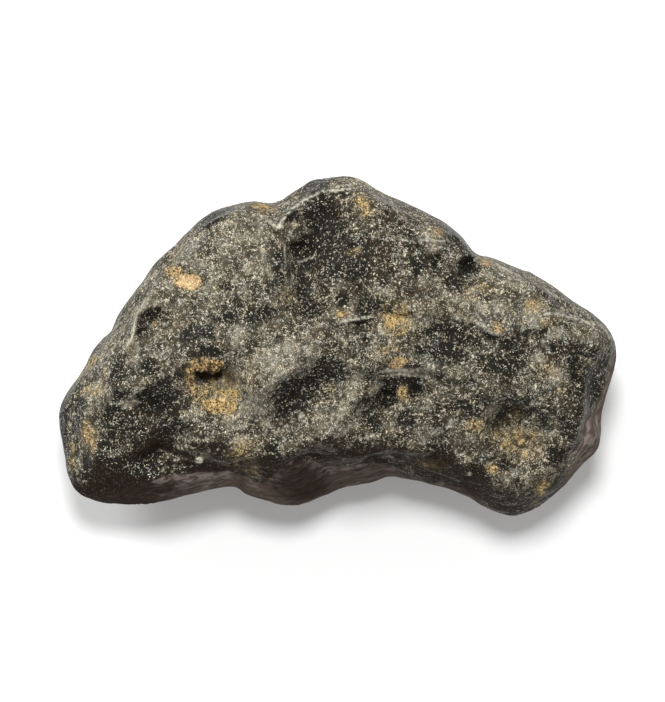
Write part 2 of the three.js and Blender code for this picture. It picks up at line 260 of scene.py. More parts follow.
# %% [markdown]
# ## Cutting the triangles
# A triangle with one cut edge becomes two triangles, with two cut edges three, and with
# three cut edges four. Both triangles on an edge see the same cut, so no gap can open. The
# first three names are a triangle's corners, and the next three its new points.

# %% Refine the blank
SPLIT_ROUNDS = 4


def cut_triangles(points, triangles, made):
    """Cuts each triangle at the new points on its sides, where made is not -1."""
    cuts = (made >= 0).sum(axis=1)
    pieces = [triangles[cuts == 0]]

    def turned(chosen, first):
        """The chosen triangles and their new points, turned so that side first comes first."""
        order = (first[chosen, None] + np.arange(3)) % 3
        corners = np.take_along_axis(triangles[chosen], order, axis=1).T
        return (*corners, *np.take_along_axis(made[chosen], order, axis=1).T)

    def add(*rows):
        pieces.append(np.stack(rows, axis=1))

    a, b, c, m, n, o = turned(cuts == 1, np.argmax(made >= 0, axis=1))
    add(a, m, c)
    add(m, b, c)
    a, b, c, m, n, o = turned(cuts == 2, np.argmin(made >= 0, axis=1) + 1)
    add(m, b, n)
    from_a, from_m = points[a] - points[n], points[m] - points[c]
    short = np.linalg.norm(from_a, axis=1) < np.linalg.norm(from_m, axis=1)
    add(a, np.where(short, n, m), c)
    add(m, n, np.where(short, a, c))
    a, b, c, m, n, o = turned(cuts == 3, np.zeros(len(cuts), np.int64))
    for rows in ((a, m, o), (m, b, n), (o, n, c), (m, n, o)):
        add(*rows)
    return np.concatenate(pieces)


for split_round in range(SPLIT_ROUNDS):
    points, made = halve_long_edges(points, triangles)
    triangles = cut_triangles(points, triangles, made)
    print("round", split_round, "triangles", len(triangles))

point_count = len(points)
edges, sides = edges_of(triangles, point_count)
shared_by = np.bincount(sides.ravel())
print("edges that don't have exactly two triangles:", int((shared_by != 2).sum()))

# %% [markdown]
# ## Smoothing the facets away
# Each point moves towards the middle of its neighbours. That alone would shrink the stone,
# so every second step moves the points back out by a little more.

# %% Relax the blank
RELAX_ROUNDS = 6
PULL_IN, PUSH_OUT = 0.5, -0.52


def relax(points, rounds):
    """Smooths the surface and keeps its size."""
    neighbours = np.bincount(edges.ravel(), minlength=point_count)[:, None]
    for _ in range(rounds):
        for share in (PULL_IN, PUSH_OUT):
            around = gather(edges[:, 0], points[edges[:, 1]], point_count)
            around += gather(edges[:, 1], points[edges[:, 0]], point_count)
            points = points + share * (around / neighbours - points)
    return points


points = relax(points, RELAX_ROUNDS)
print("points", point_count, "triangles", len(triangles))

# %% [markdown]
# ## Two brushes
# Every mark on the stone is one of two kinds. A spot is oval and lies somewhere. A stroke
# follows a bent line. Each brush answers with a number from 0 to 1 for every point, and the
# same brushes later place the soil and the dust, so that colour and shape always agree.

# %% The spot and stroke brushes
def spot(x, y, long, wide, turn=0.0, steep=2.0):
    """An oval brush mark seen from above; steep above 2 gives it a flat middle."""
    angle = math.radians(turn)
    dx, dy = points[:, 0] - x, points[:, 1] - y
    u = (dx * math.cos(angle) + dy * math.sin(angle)) / long
    v = (-dx * math.sin(angle) + dy * math.cos(angle)) / wide
    return np.exp(-np.power(u * u + v * v, steep / 2))


def stroke_distance(corners):
    """How far each point is from a bent line seen from above, and on which side (1 is right)."""
    nearest = np.full(point_count, np.inf)
    side = np.ones(point_count)
    for (ax, ay), (bx, by) in zip(corners, corners[1:]):
        dx, dy = bx - ax, by - ay
        along = ((points[:, 0] - ax) * dx + (points[:, 1] - ay) * dy) / (dx * dx + dy * dy)
        along = np.clip(along, 0, 1)
        ox, oy = points[:, 0] - ax - along * dx, points[:, 1] - ay - along * dy
        distance = np.hypot(ox, oy)
        closer = distance < nearest
        nearest = np.where(closer, distance, nearest)
        side = np.where(closer, np.sign(dy * ox - dx * oy), side)
    return nearest, side


def stroke(corners, width):
    """A brush mark along a bent line."""
    distance, _ = stroke_distance(corners)
    return np.exp(-np.square(distance / width))


def rise(values, low, high):
    """0 below low, 1 above high and a soft rise between."""
    t = np.clip((values - low) / (high - low), 0, 1)
    return t * t * (3 - 2 * t)


print("brush test, points under a 1 mm spot:", int((spot(0, 0, 1, 1) > 0.5).sum()))

# %% [markdown]
# ## Natural unevenness
# No brush mark on a real stone is perfect. Smooth random waves of a chosen width make the
# surface uneven, and they fray the borders of the colour patches too. Each set of waves has
# its own seed number, so that the stone comes out the same every time.

# %% Random waves and bowls
def ripple(size, seed, stretch=(1, 1, 1)):
    """Smooth random waves over the surface, about -1 to 1; size is their width."""
    shift = Vector((seed * 7.3, seed * 3.1, seed * 5.7))
    spread = np.array(stretch) * size
    return np.array([noise.noise(Vector(p) + shift) for p in (points / spread).tolist()])


def bowls(size, seed):
    """Bowls that meet in ridges: 1 in the middle of a bowl, 0 on the ridges."""
    shift = Vector((seed * 2.9, seed * 6.1, seed * 1.7))
    gaps = []
    for p in (points / size).tolist():
        distances, _ = noise.voronoi(Vector(p) + shift)
        gaps.append(distances[1] - distances[0])
    return rise(np.array(gaps), 0.0, 0.55)


normals = normals_of(points, triangles)
on_face = rise(normals[:, 2], 0.15, 0.6) * rise(points[:, 2], 13, 16)
below = rise(-normals[:, 2], 0.1, 0.45)
print("share of points on the face:", round(float(on_face.mean()), 2))

# %% [markdown]
# ## The sides and the underside
# Nobody photographed the back of this stone. Stones of this kind are scalloped all over, so
# shallow bowls that meet in soft ridges are pressed into the undercut sides and the
# underside, with the same sizes as the hollows that do show on the face. Fine level
# streaks run round the side wall: the photograph shows them under the lip of the face.

# %% Scallops and streaks
SCALLOP_SIZE = 6.0
SCALLOP_DEPTH = 0.9
STREAK_DEPTH = 0.08

scallop_share = below * rise(points[:, 2], 0.3, 2.5)
points = points - normals * (scallop_share * SCALLOP_DEPTH * bowls(SCALLOP_SIZE, 3))[:, None]
upright = rise(-np.abs(normals[:, 2]), -0.5, -0.2)
streaks = ripple(1.0, 11, stretch=(7, 7, 0.9)) + 0.6 * ripple(1.0, 12, stretch=(3, 3, 0.45))
near_side = rise(-normals[:, 1], -0.3, 0.3)
streak_share = upright * (0.35 + 0.65 * near_side)
points = points + normals * (STREAK_DEPTH * streaks * streak_share)[:, None]
print("deepest streak, mm:", round(float(np.abs(streaks * upright).max() * STREAK_DEPTH), 2))

# %% [markdown]
# ## Small pits, holes and lumps of the face
# The construction solid already has the large pit, the valley, the ridges and the scoop.
# Here come the forms that are too small for its facets. A table is the clearest way to
# keep them: one row is one touch of the brush, and anyone can move a pit by its numbers.

# %% Spots pressed into the face
# name, x, y, half length, half width, turn in degrees, depth (below zero a lump), steepness
FACE_SPOTS = [
    ("hole in the trough", -4.2, 10.5, 1.1, 0.9, 0, 0.5, 2.5),
    ("edge hole", 14.35, 9.0, 0.85, 0.85, 0, 1.6, 4),
    ("small edge hole", 11.1, 9.4, 0.7, 0.6, 0, 0.45, 3),
    ("far edge hole", 13.0, 11.7, 0.8, 0.6, -30, 0.35, 3),
    ("hole under the crust", -14.9, -3.3, 0.75, 0.6, -10, 1.7, 4),
    ("right half of that hole", -13.1, -2.9, 0.4, 0.45, 0, 1.2, 4),
    ("foot of that hole", -14.0, -3.5, 0.8, 0.4, 0, 0.9, 3),
    ("crust lump", -13.5, -2.4, 0.55, 0.45, 0, -0.5, 3),
    ("left crust", -15.6, -2.4, 0.8, 0.4, 20, -0.35, 3),
    ("hole in the crust", -15.9, -2.3, 0.22, 0.20, 0, 0.6, 3),
    ("middle hole in the crust", -14.6, -2.0, 0.20, 0.18, 0, 0.6, 3),
    ("upper crust", -13.4, -1.6, 1.0, 0.4, 0, -0.3, 3),
    ("ledge hole", 5.45, -5.6, 0.95, 0.85, 20, 0.9, 3),
    ("small ledge hole", 8.45, -4.8, 0.6, 0.6, 0, 0.6, 3),
    ("shoulder scar", -16.5, 7.2, 1.35, 0.8, -6, 0.3, 5),
    ("scar's upper end", -18.2, 7.9, 0.8, 0.6, 20, 0.2, 3),
    ("dimple on the hump", 1.8, 10.6, 0.9, 0.7, 20, 0.4, 3),
    ("ring on the hump", 2.4, 13.5, 0.35, 0.35, 0, 0.15, 3),
    ("hollow by the middle lip", 3.5, 4.2, 0.9, 0.6, 0, 0.35, 3),
    ("smooth hollow under it", 2.6, 2.2, 1.2, 0.8, 0, 0.35, 3),
    ("right dent", 26.2, -3.9, 0.7, 0.6, 0, 0.4, 3),
    ("dent by the right end", 28.2, -5.2, 0.7, 0.9, -20, 0.5, 3),
    ("hole in the left nick", -20.6, 3.5, 0.9, 1.0, 0, 0.2, 3),
    ("cream clast", -15.3, -12.5, 0.45, 0.38, 10, -0.35, 4),
    ("pale clast", 3.6, -10.0, 0.38, 0.38, 0, -0.15, 4),
    ("clast in the valley", -4.0, -7.6, 0.42, 0.38, 0, -0.15, 4),
    ("left of the scoop's head", 18.4, -8.6, 0.8, 0.8, 0, 0.9, 3),
    ("right of the scoop's head", 20.1, -7.3, 0.9, 0.7, 0, 0.9, 3),
]
for name, x, y, long, wide, turn, depth, steepness in FACE_SPOTS:
    points[:, 2] -= on_face * depth * spot(x, y, long, wide, turn, steepness)
print("spots pressed into the face:", len(FACE_SPOTS))

# %% [markdown]
# ## Crests, grooves and lips
# Thin crests catch the light as pale lines in the photograph. They are strokes with a
# depth below zero. A lip is different: the surface drops on one side of the line only.

# %% Strokes over the face
# name, width, depth (below zero a crest), corners
FACE_STROKES = [
    ("crest of the trough", 0.34, -0.5,
     [(-6.8, 12.9), (-5.1, 15.1), (-3.8, 16.1), (-2.5, 17.0), (-0.6, 17.2)]),
    ("left edge of the hump", 0.3, -0.35, [(-5.8, 11.0), (-5.7, 8.1)]),
    ("lip under the trough's hole", 0.28, -0.35, [(-4.4, 9.3), (-2.7, 9.8)]),
    ("middle lip", 0.3, -0.4, [(0.3, 2.65), (1.9, 3.0), (3.8, 3.25)]),
    ("first scratch", 0.16, -0.1, [(6.3, 11.7), (7.7, 11.7)]),
    ("second scratch", 0.16, -0.1, [(9.0, 11.7), (10.2, 11.6)]),
    ("right shoulder line", 0.28, -0.2, [(17.6, 9.1), (18.9, 8.4), (20.3, 7.6)]),
    ("line near the right edge", 0.28, -0.2, [(23.1, 6.2), (24.4, 5.4)]),
    ("right crest", 0.38, -0.45, [(23.0, 3.7), (24.6, 3.7), (26.2, 3.3), (27.4, 2.8)]),
    ("crest in the right middle", 0.32, -0.4, [(15.0, 2.7), (16.1, 2.2), (16.9, 1.5), (17.6, 1.4)]),
    ("left crest", 0.36, -0.5, [(-21.4, 4.3), (-22.3, 2.8), (-22.7, 0.2)]),
    ("lip of the left hollow", 0.36, -0.45, [(-22.8, -5.6), (-22.1, -5.0), (-21.2, -4.5)]),
    ("left gully", 0.4, 0.35, [(-21.2, -12.5), (-18.8, -10.6)]),
    ("gash in the scoop", 0.28, 0.45, [(16.7, -12.8), (18.4, -12.9), (19.5, -13.3)]),
    ("ledge's crest", 0.30, -0.45, [(4.9, -2.9), (6.9, -2.75), (9.0, -3.0)]),
    ("crest by the ledge", 0.55, -0.2, [(4.4, -3.7), (1.0, -7.0), (0.0, -9.0)]),
    ("rim of the valley", 0.5, -0.2, [(-7.7, -5.0), (-6.4, -3.7), (-4.5, -2.2)]),
]
for name, width, depth, corners in FACE_STROKES:
    points[:, 2] -= on_face * depth * stroke(corners, width)

# name, width of the hollow under the lip, drop, corners; the drop is on the right of the line
FACE_LIPS = [
    ("ledge", 0.9, 0.7, [(5.0, -3.2), (6.9, -3.1), (9.0, -3.3)][::-1]),
    ("near left lip", 1.2, 0.4, [(-17.5, -13.2), (-14.0, -13.3), (-12.0, -14.2)][::-1]),
]
for name, width, drop, corners in FACE_LIPS:
    distance, side = stroke_distance(corners)
    points[:, 2] -= on_face * drop * rise(side * distance, -0.15, 0.15) * np.exp(-distance / width)
print("strokes:", len(FACE_STROKES), "lips:", len(FACE_LIPS))

# %% [markdown]
# ## Grain
# Between its pits the face is lumpy like worn leather, and finer still it is rough like
# coarse sandpaper. Four sets of waves of falling width make both. The outline of the real
# stone is smooth, so the waves are weaker where the surface stands upright.

# %% Grain of the surface
# height, width, seed of each set of waves
GRAIN = [(0.18, 4.2, 4), (0.20, 2.4, 1), (0.14, 1.1, 2), (0.07, 0.5, 3)]

normals = normals_of(points, triangles)
flatness = 0.3 + 0.7 * rise(np.abs(normals[:, 2]), 0.1, 0.6)
grain = sum(height * ripple(width, seed) for height, width, seed in GRAIN)
points = points + normals * (grain * flatness)[:, None]
print("grain, mm:", round(float(np.abs(grain).max()), 2))

# %% [markdown]
# ## Keep inside the construction box
# The part's size is a promise: other makers place this stone by its box. So the refined
# surface is held inside the construction model's box, and its resting flat stays flat.

# %% Hold the surface inside the box
box_low = np.array(cad_low) / MM
box_high = np.array(cad_high) / MM
outside = np.maximum(box_low - points, points - box_high).max()
points = np.clip(points, box_low, box_high)
print("furthest point outside before holding, mm:", round(float(outside), 3))

# %% [markdown]
# ## Where soil, dust, bare rock and painted light and shade lie
# The colours of the stone depend on what lies where: soil in the hollows, dust on the
# slopes that face the sky, bare polished rock in the valleys that wind has swept. The dust
# mask also paints light on lit slopes and sheen, and the bare mask paints shade in holes,
# undercuts and shaded valley walls. A picture could be painted for each, but then it would
# fit this one view only. Brush marks fit from every side, so each table is again a list of
# them. The soil comes first: tan desert sand and clay that has stuck in the pits for
# thousands of years.

# %% Soil patches
# name, x, y, half length, half width, turn, strength, warmth (0 golden sand, 1 orange clay)
SOIL = [
    ("pit", -13.4, -4.9, 3.0, 3.0, 0, 0.66, 0.3),
    ("pit floor", -13.2, -6.5, 2.4, 1.1, -8, 1.15, 0.15),
    ("pit floor, right", -11.7, -5.3, 0.9, 1.2, 0, 0.85, 0.1),
    ("pit's left wall", -16.2, -3.8, 0.6, 2.2, 12, 1.0, 0.9),
    ("pit's upper rim", -14.6, -1.9, 1.9, 0.8, 0, 1.1, 1.0),
    ("shoulder scar", -16.5, 7.2, 1.35, 0.85, -6, 2.6, 1.0),
    ("scar's upper end", -18.0, 8.2, 1.4, 0.8, -15, 1.15, 0.7),
    ("tan hollow", 6.4, 3.1, 1.9, 2.1, 0, 0.9, 0.2),
    ("ledge", 6.6, -1.7, 1.6, 0.7, 0, 0.8, 0.7),
    ("ledge's bright edge", 6.5, -2.0, 0.9, 0.42, 0, 2.4, 1.0),
    ("between the ledge holes", 7.2, -5.1, 0.7, 1.2, 0, 0.9, 0.7),
    ("hump's saddle", 2.9, 15.6, 1.2, 1.8, 15, 0.75, 0.3),
    ("hump dimple", 1.7, 10.4, 1.0, 0.5, 15, 0.8, 0.9),
    ("hump's near edge", 11.1, 12.7, 1.3, 1.0, -20, 0.6, 0.5),
    ("trough's foot", -5.5, 5.6, 1.0, 1.0, 0, 0.6, 0.8),
    ("middle dimple", 0.6, 3.7, 1.0, 0.8, 0, 0.6, 0.2),
    ("right dimple", 21.5, 4.5, 1.3, 1.1, 0, 0.6, 0.6),
    ("right dimple's foot", 23.1, 2.7, 1.1, 0.7, 0, 0.5, 0.3),
    ("small patch by the scoop", 15.2, -8.7, 1.4, 0.8, 0, 0.9, 0.6),
    ("rosy spot", 17.6, 2.1, 0.8, 0.8, 0, 0.8, 1.0),
    ("notch of the hump", -8.4, 15.5, 1.8, 0.8, -15, 0.7, 0.3),
    ("left strip", -27.5, -9.9, 1.0, 2.3, 5, 0.8, 1.0),
    ("left lobe", -27.0, -4.9, 1.5, 0.7, 0, 0.75, 0.6),
    ("left edge", -27.2, -1.7, 0.5, 1.1, -35, 0.8, 0.3),
    ("left corner", -29.4, -12.1, 0.4, 2.2, 0, 0.7, 0.4),
    ("scoop floor", 19.7, -10.5, 3.6, 2.2, -14, 0.62, 0.3),
    ("scoop's head", 19.2, -7.9, 1.9, 1.1, 35, 0.5, 0.9),
    ("scoop's near end", 22.7, -15.6, 1.1, 1.3, 0, 0.8, 0.3),
    ("scoop's left end", 17.1, -13.5, 1.0, 0.6, -20, 0.8, 0.7),
    ("right spot", 24.8, -5.0, 0.7, 0.6, 0, 0.8, 0.5),
    ("near middle", -10.6, -11.9, 2.0, 1.8, 0, 0.6, 0.3),
    ("near middle spot", -9.5, -13.7, 1.1, 0.8, 0, 0.6, 0.4),
    ("notch of the shoulder", 16.3, 9.4, 1.0, 0.9, -30, 0.7, 0.5),
    ("pit's right side", -9.5, -3.2, 1.1, 2.4, 0, 0.35, 0.3),
    ("above the ledge", 5.3, -0.4, 1.8, 0.8, 0, 0.5, 0.4),
    ("ridge's side", -0.6, -4.6, 0.5, 0.6, 0, 0.8, 1.0),
    ("right lip", 22.3, -17.1, 1.6, 0.4, 40, 0.5, 0.6),
    ("near right lip", 10.3, -13.2, 2.4, 0.9, -10, 0.4, 0.6),
    ("near lip", 0.3, -12.9, 2.0, 0.7, 0, 0.4, 0.6),
    ("below the left nick", -20.1, 2.5, 0.4, 0.4, 0, 0.9, 0.9),
    ("left nick's foot", -22.7, -0.1, 0.7, 1.1, 10, 0.5, 0.4),
    ("olive patch", 23.1, -2.3, 1.2, 1.1, 0, 0.5, 0.0),
    ("notch haze", 15.5, 6.2, 2.2, 1.4, -10, 0.45, 0.1),
]
print("soil patches:", len(SOIL))

# %% [markdown]
# ## Patches of dust and painted light
# Dust is what makes the stone look grey. It lies thin all over and thicker on shoulders,
# rims and plateaus. The same patches paint light: slopes that face the light and crests with
# a sheen get a stronger patch and look paler. Only the places where the photograph is lighter
# than its surroundings need a patch.

# %% Dust patches, which also paint light
# name, x, y, half length, half width, turn, strength
DUST_AND_LIGHT = [
    ("upper shoulder", -11.5, 12.0, 3.0, 2.2, 10, 0.55),
    ("right end of the shoulder", -8.4, 12.0, 0.9, 2.6, 0, 0.8),
    ("shoulder", -13.6, 8.0, 4.7, 2.2, -10, 0.5),
    ("shoulder edge", -17.0, 10.7, 1.6, 1.0, 30, 0.7),
    ("band", -5.8, -0.7, 3.8, 1.4, 22, 0.75),
    ("pit's right lip", -8.8, -5.6, 1.7, 2.7, -10, 0.8),
    ("ridge by the ledge", 0.9, -6.0, 3.7, 1.4, 62, 0.5),
    ("foot of that ridge", -0.6, -9.1, 2.2, 1.0, 0, 0.6),
    ("below the pit", -13.6, -8.8, 3.6, 1.0, 0, 0.6),
    ("middle dimple", 0.8, 3.6, 1.4, 1.0, 20, 1.0),
    ("right shoulder", 15.6, 5.2, 4.5, 1.8, -20, 0.7),
    ("notch of the shoulder", 17.8, 8.3, 2.2, 1.0, -25, 0.7),
    ("right dimple", 21.6, 4.4, 1.6, 1.4, 0, 0.8),
    ("hump's near edge", 10.5, 11.5, 1.1, 1.6, 0, 0.8),
    ("left foot", -24.2, -13.7, 2.4, 1.0, 10, 0.4),
    ("right crest", 27.9, 0.6, 1.0, 0.7, 0, 0.8),
    ("left end upper", -26.4, -0.4, 1.1, 2.2, -25, 0.6),
    ("left nick's foot", -22.5, -0.5, 0.9, 1.6, 10, 0.8),
    ("left lobe", -27.2, -5.1, 1.8, 1.0, 0, 0.8),
    ("left end strip", -27.3, -9.5, 1.0, 2.7, 5, 0.7),
    ("above the ledge", 10.3, -0.6, 3.3, 1.3, 0, 0.5),
    ("near the scoop", 14.2, -10.1, 1.8, 1.4, 0, 0.5),
    ("right of the ledge", 9.7, -2.8, 1.6, 0.9, 0, 0.5),
    ("trough's left edge", -6.6, 13.3, 0.6, 0.8, -40, 0.6),
    ("crest of the hump", 0.8, 17.9, 3.3, 0.6, 0, 0.5),
    ("near middle", -4.2, -10.6, 3.1, 1.0, 0, 0.3),
    ("near right", 22.5, -13.7, 3.3, 2.0, 30, 0.35),
    ("behind the scoop", 24.8, -8.2, 1.6, 2.2, 0, 0.2),
    ("foot of the shoulder", -9.5, 8.6, 1.8, 0.9, -10, 0.6),
    ("left of the scar", -20.2, 6.6, 1.0, 1.2, 30, 0.7),
    ("over the left nick", -20.3, 4.9, 1.3, 0.5, 0, 0.8),
    ("pit's upper right", -10.9, 0.8, 0.9, 1.5, 0, 0.9),
    ("pit's right rim", -11.3, -3.2, 0.8, 2.0, 5, 1.0),
    ("lip of the left hollow", -23.0, -6.1, 1.2, 0.7, 20, 1.3),
    ("left edge upper", -28.3, -3.6, 0.8, 1.6, -30, 0.5),
    ("left foot's middle", -24.0, -11.6, 1.9, 0.8, 15, 0.9),
    ("left foot's edge", -28.6, -13.2, 0.6, 1.8, 0, 0.9),
    ("below the pit, right", -10.5, -10.3, 1.1, 0.8, 0, 1.3),
    ("left rim of the valley", -4.6, -2.6, 2.4, 0.9, 25, 0.9),
    ("left rim of the valley, low", -7.0, -4.4, 1.1, 0.7, 45, 1.0),
    ("above the ledge's crest", 0.2, -2.0, 2.0, 0.8, 0, 0.8),
    ("under the ledge", 7.0, -2.8, 1.8, 0.5, 0, 0.9),
    ("middle", 4.0, 0.6, 5.0, 2.6, 0, 0.16),
    ("left of the ledge holes", 4.2, -4.2, 0.8, 1.2, 0, 0.8),
    ("trough's near wall", -4.8, 11.9, 0.6, 0.5, 0, 0.8),
    ("hump's right slope", 9.5, 7.5, 0.9, 1.2, 0, 0.8),
    ("above the tan hollow", 5.0, 6.2, 1.0, 1.0, 0, 0.7),
    ("right of the tan hollow", 9.0, 2.8, 2.0, 0.8, 0, 0.7),
    ("shoulder's notch, far", 17.0, 8.2, 1.2, 1.0, 0, 0.6),
    ("shoulder's far slope", 20.3, 6.6, 1.8, 0.7, -15, 0.5),
    ("right middle step", 13.8, 2.9, 1.8, 0.7, 0, 0.7),
    ("right plateau's far side", 24.4, 1.5, 1.2, 0.9, 0, 1.0),
    ("right plateau's left side", 21.9, -1.8, 1.1, 1.1, 0, 1.1),
    ("right plateau's foot", 23.9, -3.2, 0.8, 1.2, 0, 0.9),
    ("scoop's left rim", 17.2, -6.6, 0.8, 1.7, 0, 0.9),
    ("near middle right", 10.0, -9.6, 1.5, 0.9, 0, 1.0),
    ("scoop's far floor", 20.6, -9.5, 1.0, 0.7, 0, 0.9),
    ("scoop's right floor", 23.0, -9.8, 0.9, 0.7, 0, 0.9),
    ("over the left nick, far", -21.3, 4.2, 1.6, 0.6, 15, 1.0),
    ("scar's left side", -18.4, 6.9, 0.8, 1.1, 0, 0.9),
    ("pit's right wall", -12.3, -3.8, 0.9, 1.1, 0, 1.3),
    ("crest in the right middle", 15.5, 1.9, 0.9, 1.0, 0, 1.0),
    ("near the right dent", 6.9, -9.0, 0.8, 1.0, 0, 0.7),
    ("trough's left foot", -8.8, 7.4, 1.1, 0.5, 0, 0.8),
    ("edge over the right wall", 28.2, -9.6, 0.5, 3.4, -20, 0.9),
    ("edge over the right wall, near", 26.6, -13.6, 0.5, 1.5, -25, 0.8),
]
print("dust patches:", len(DUST_AND_LIGHT))
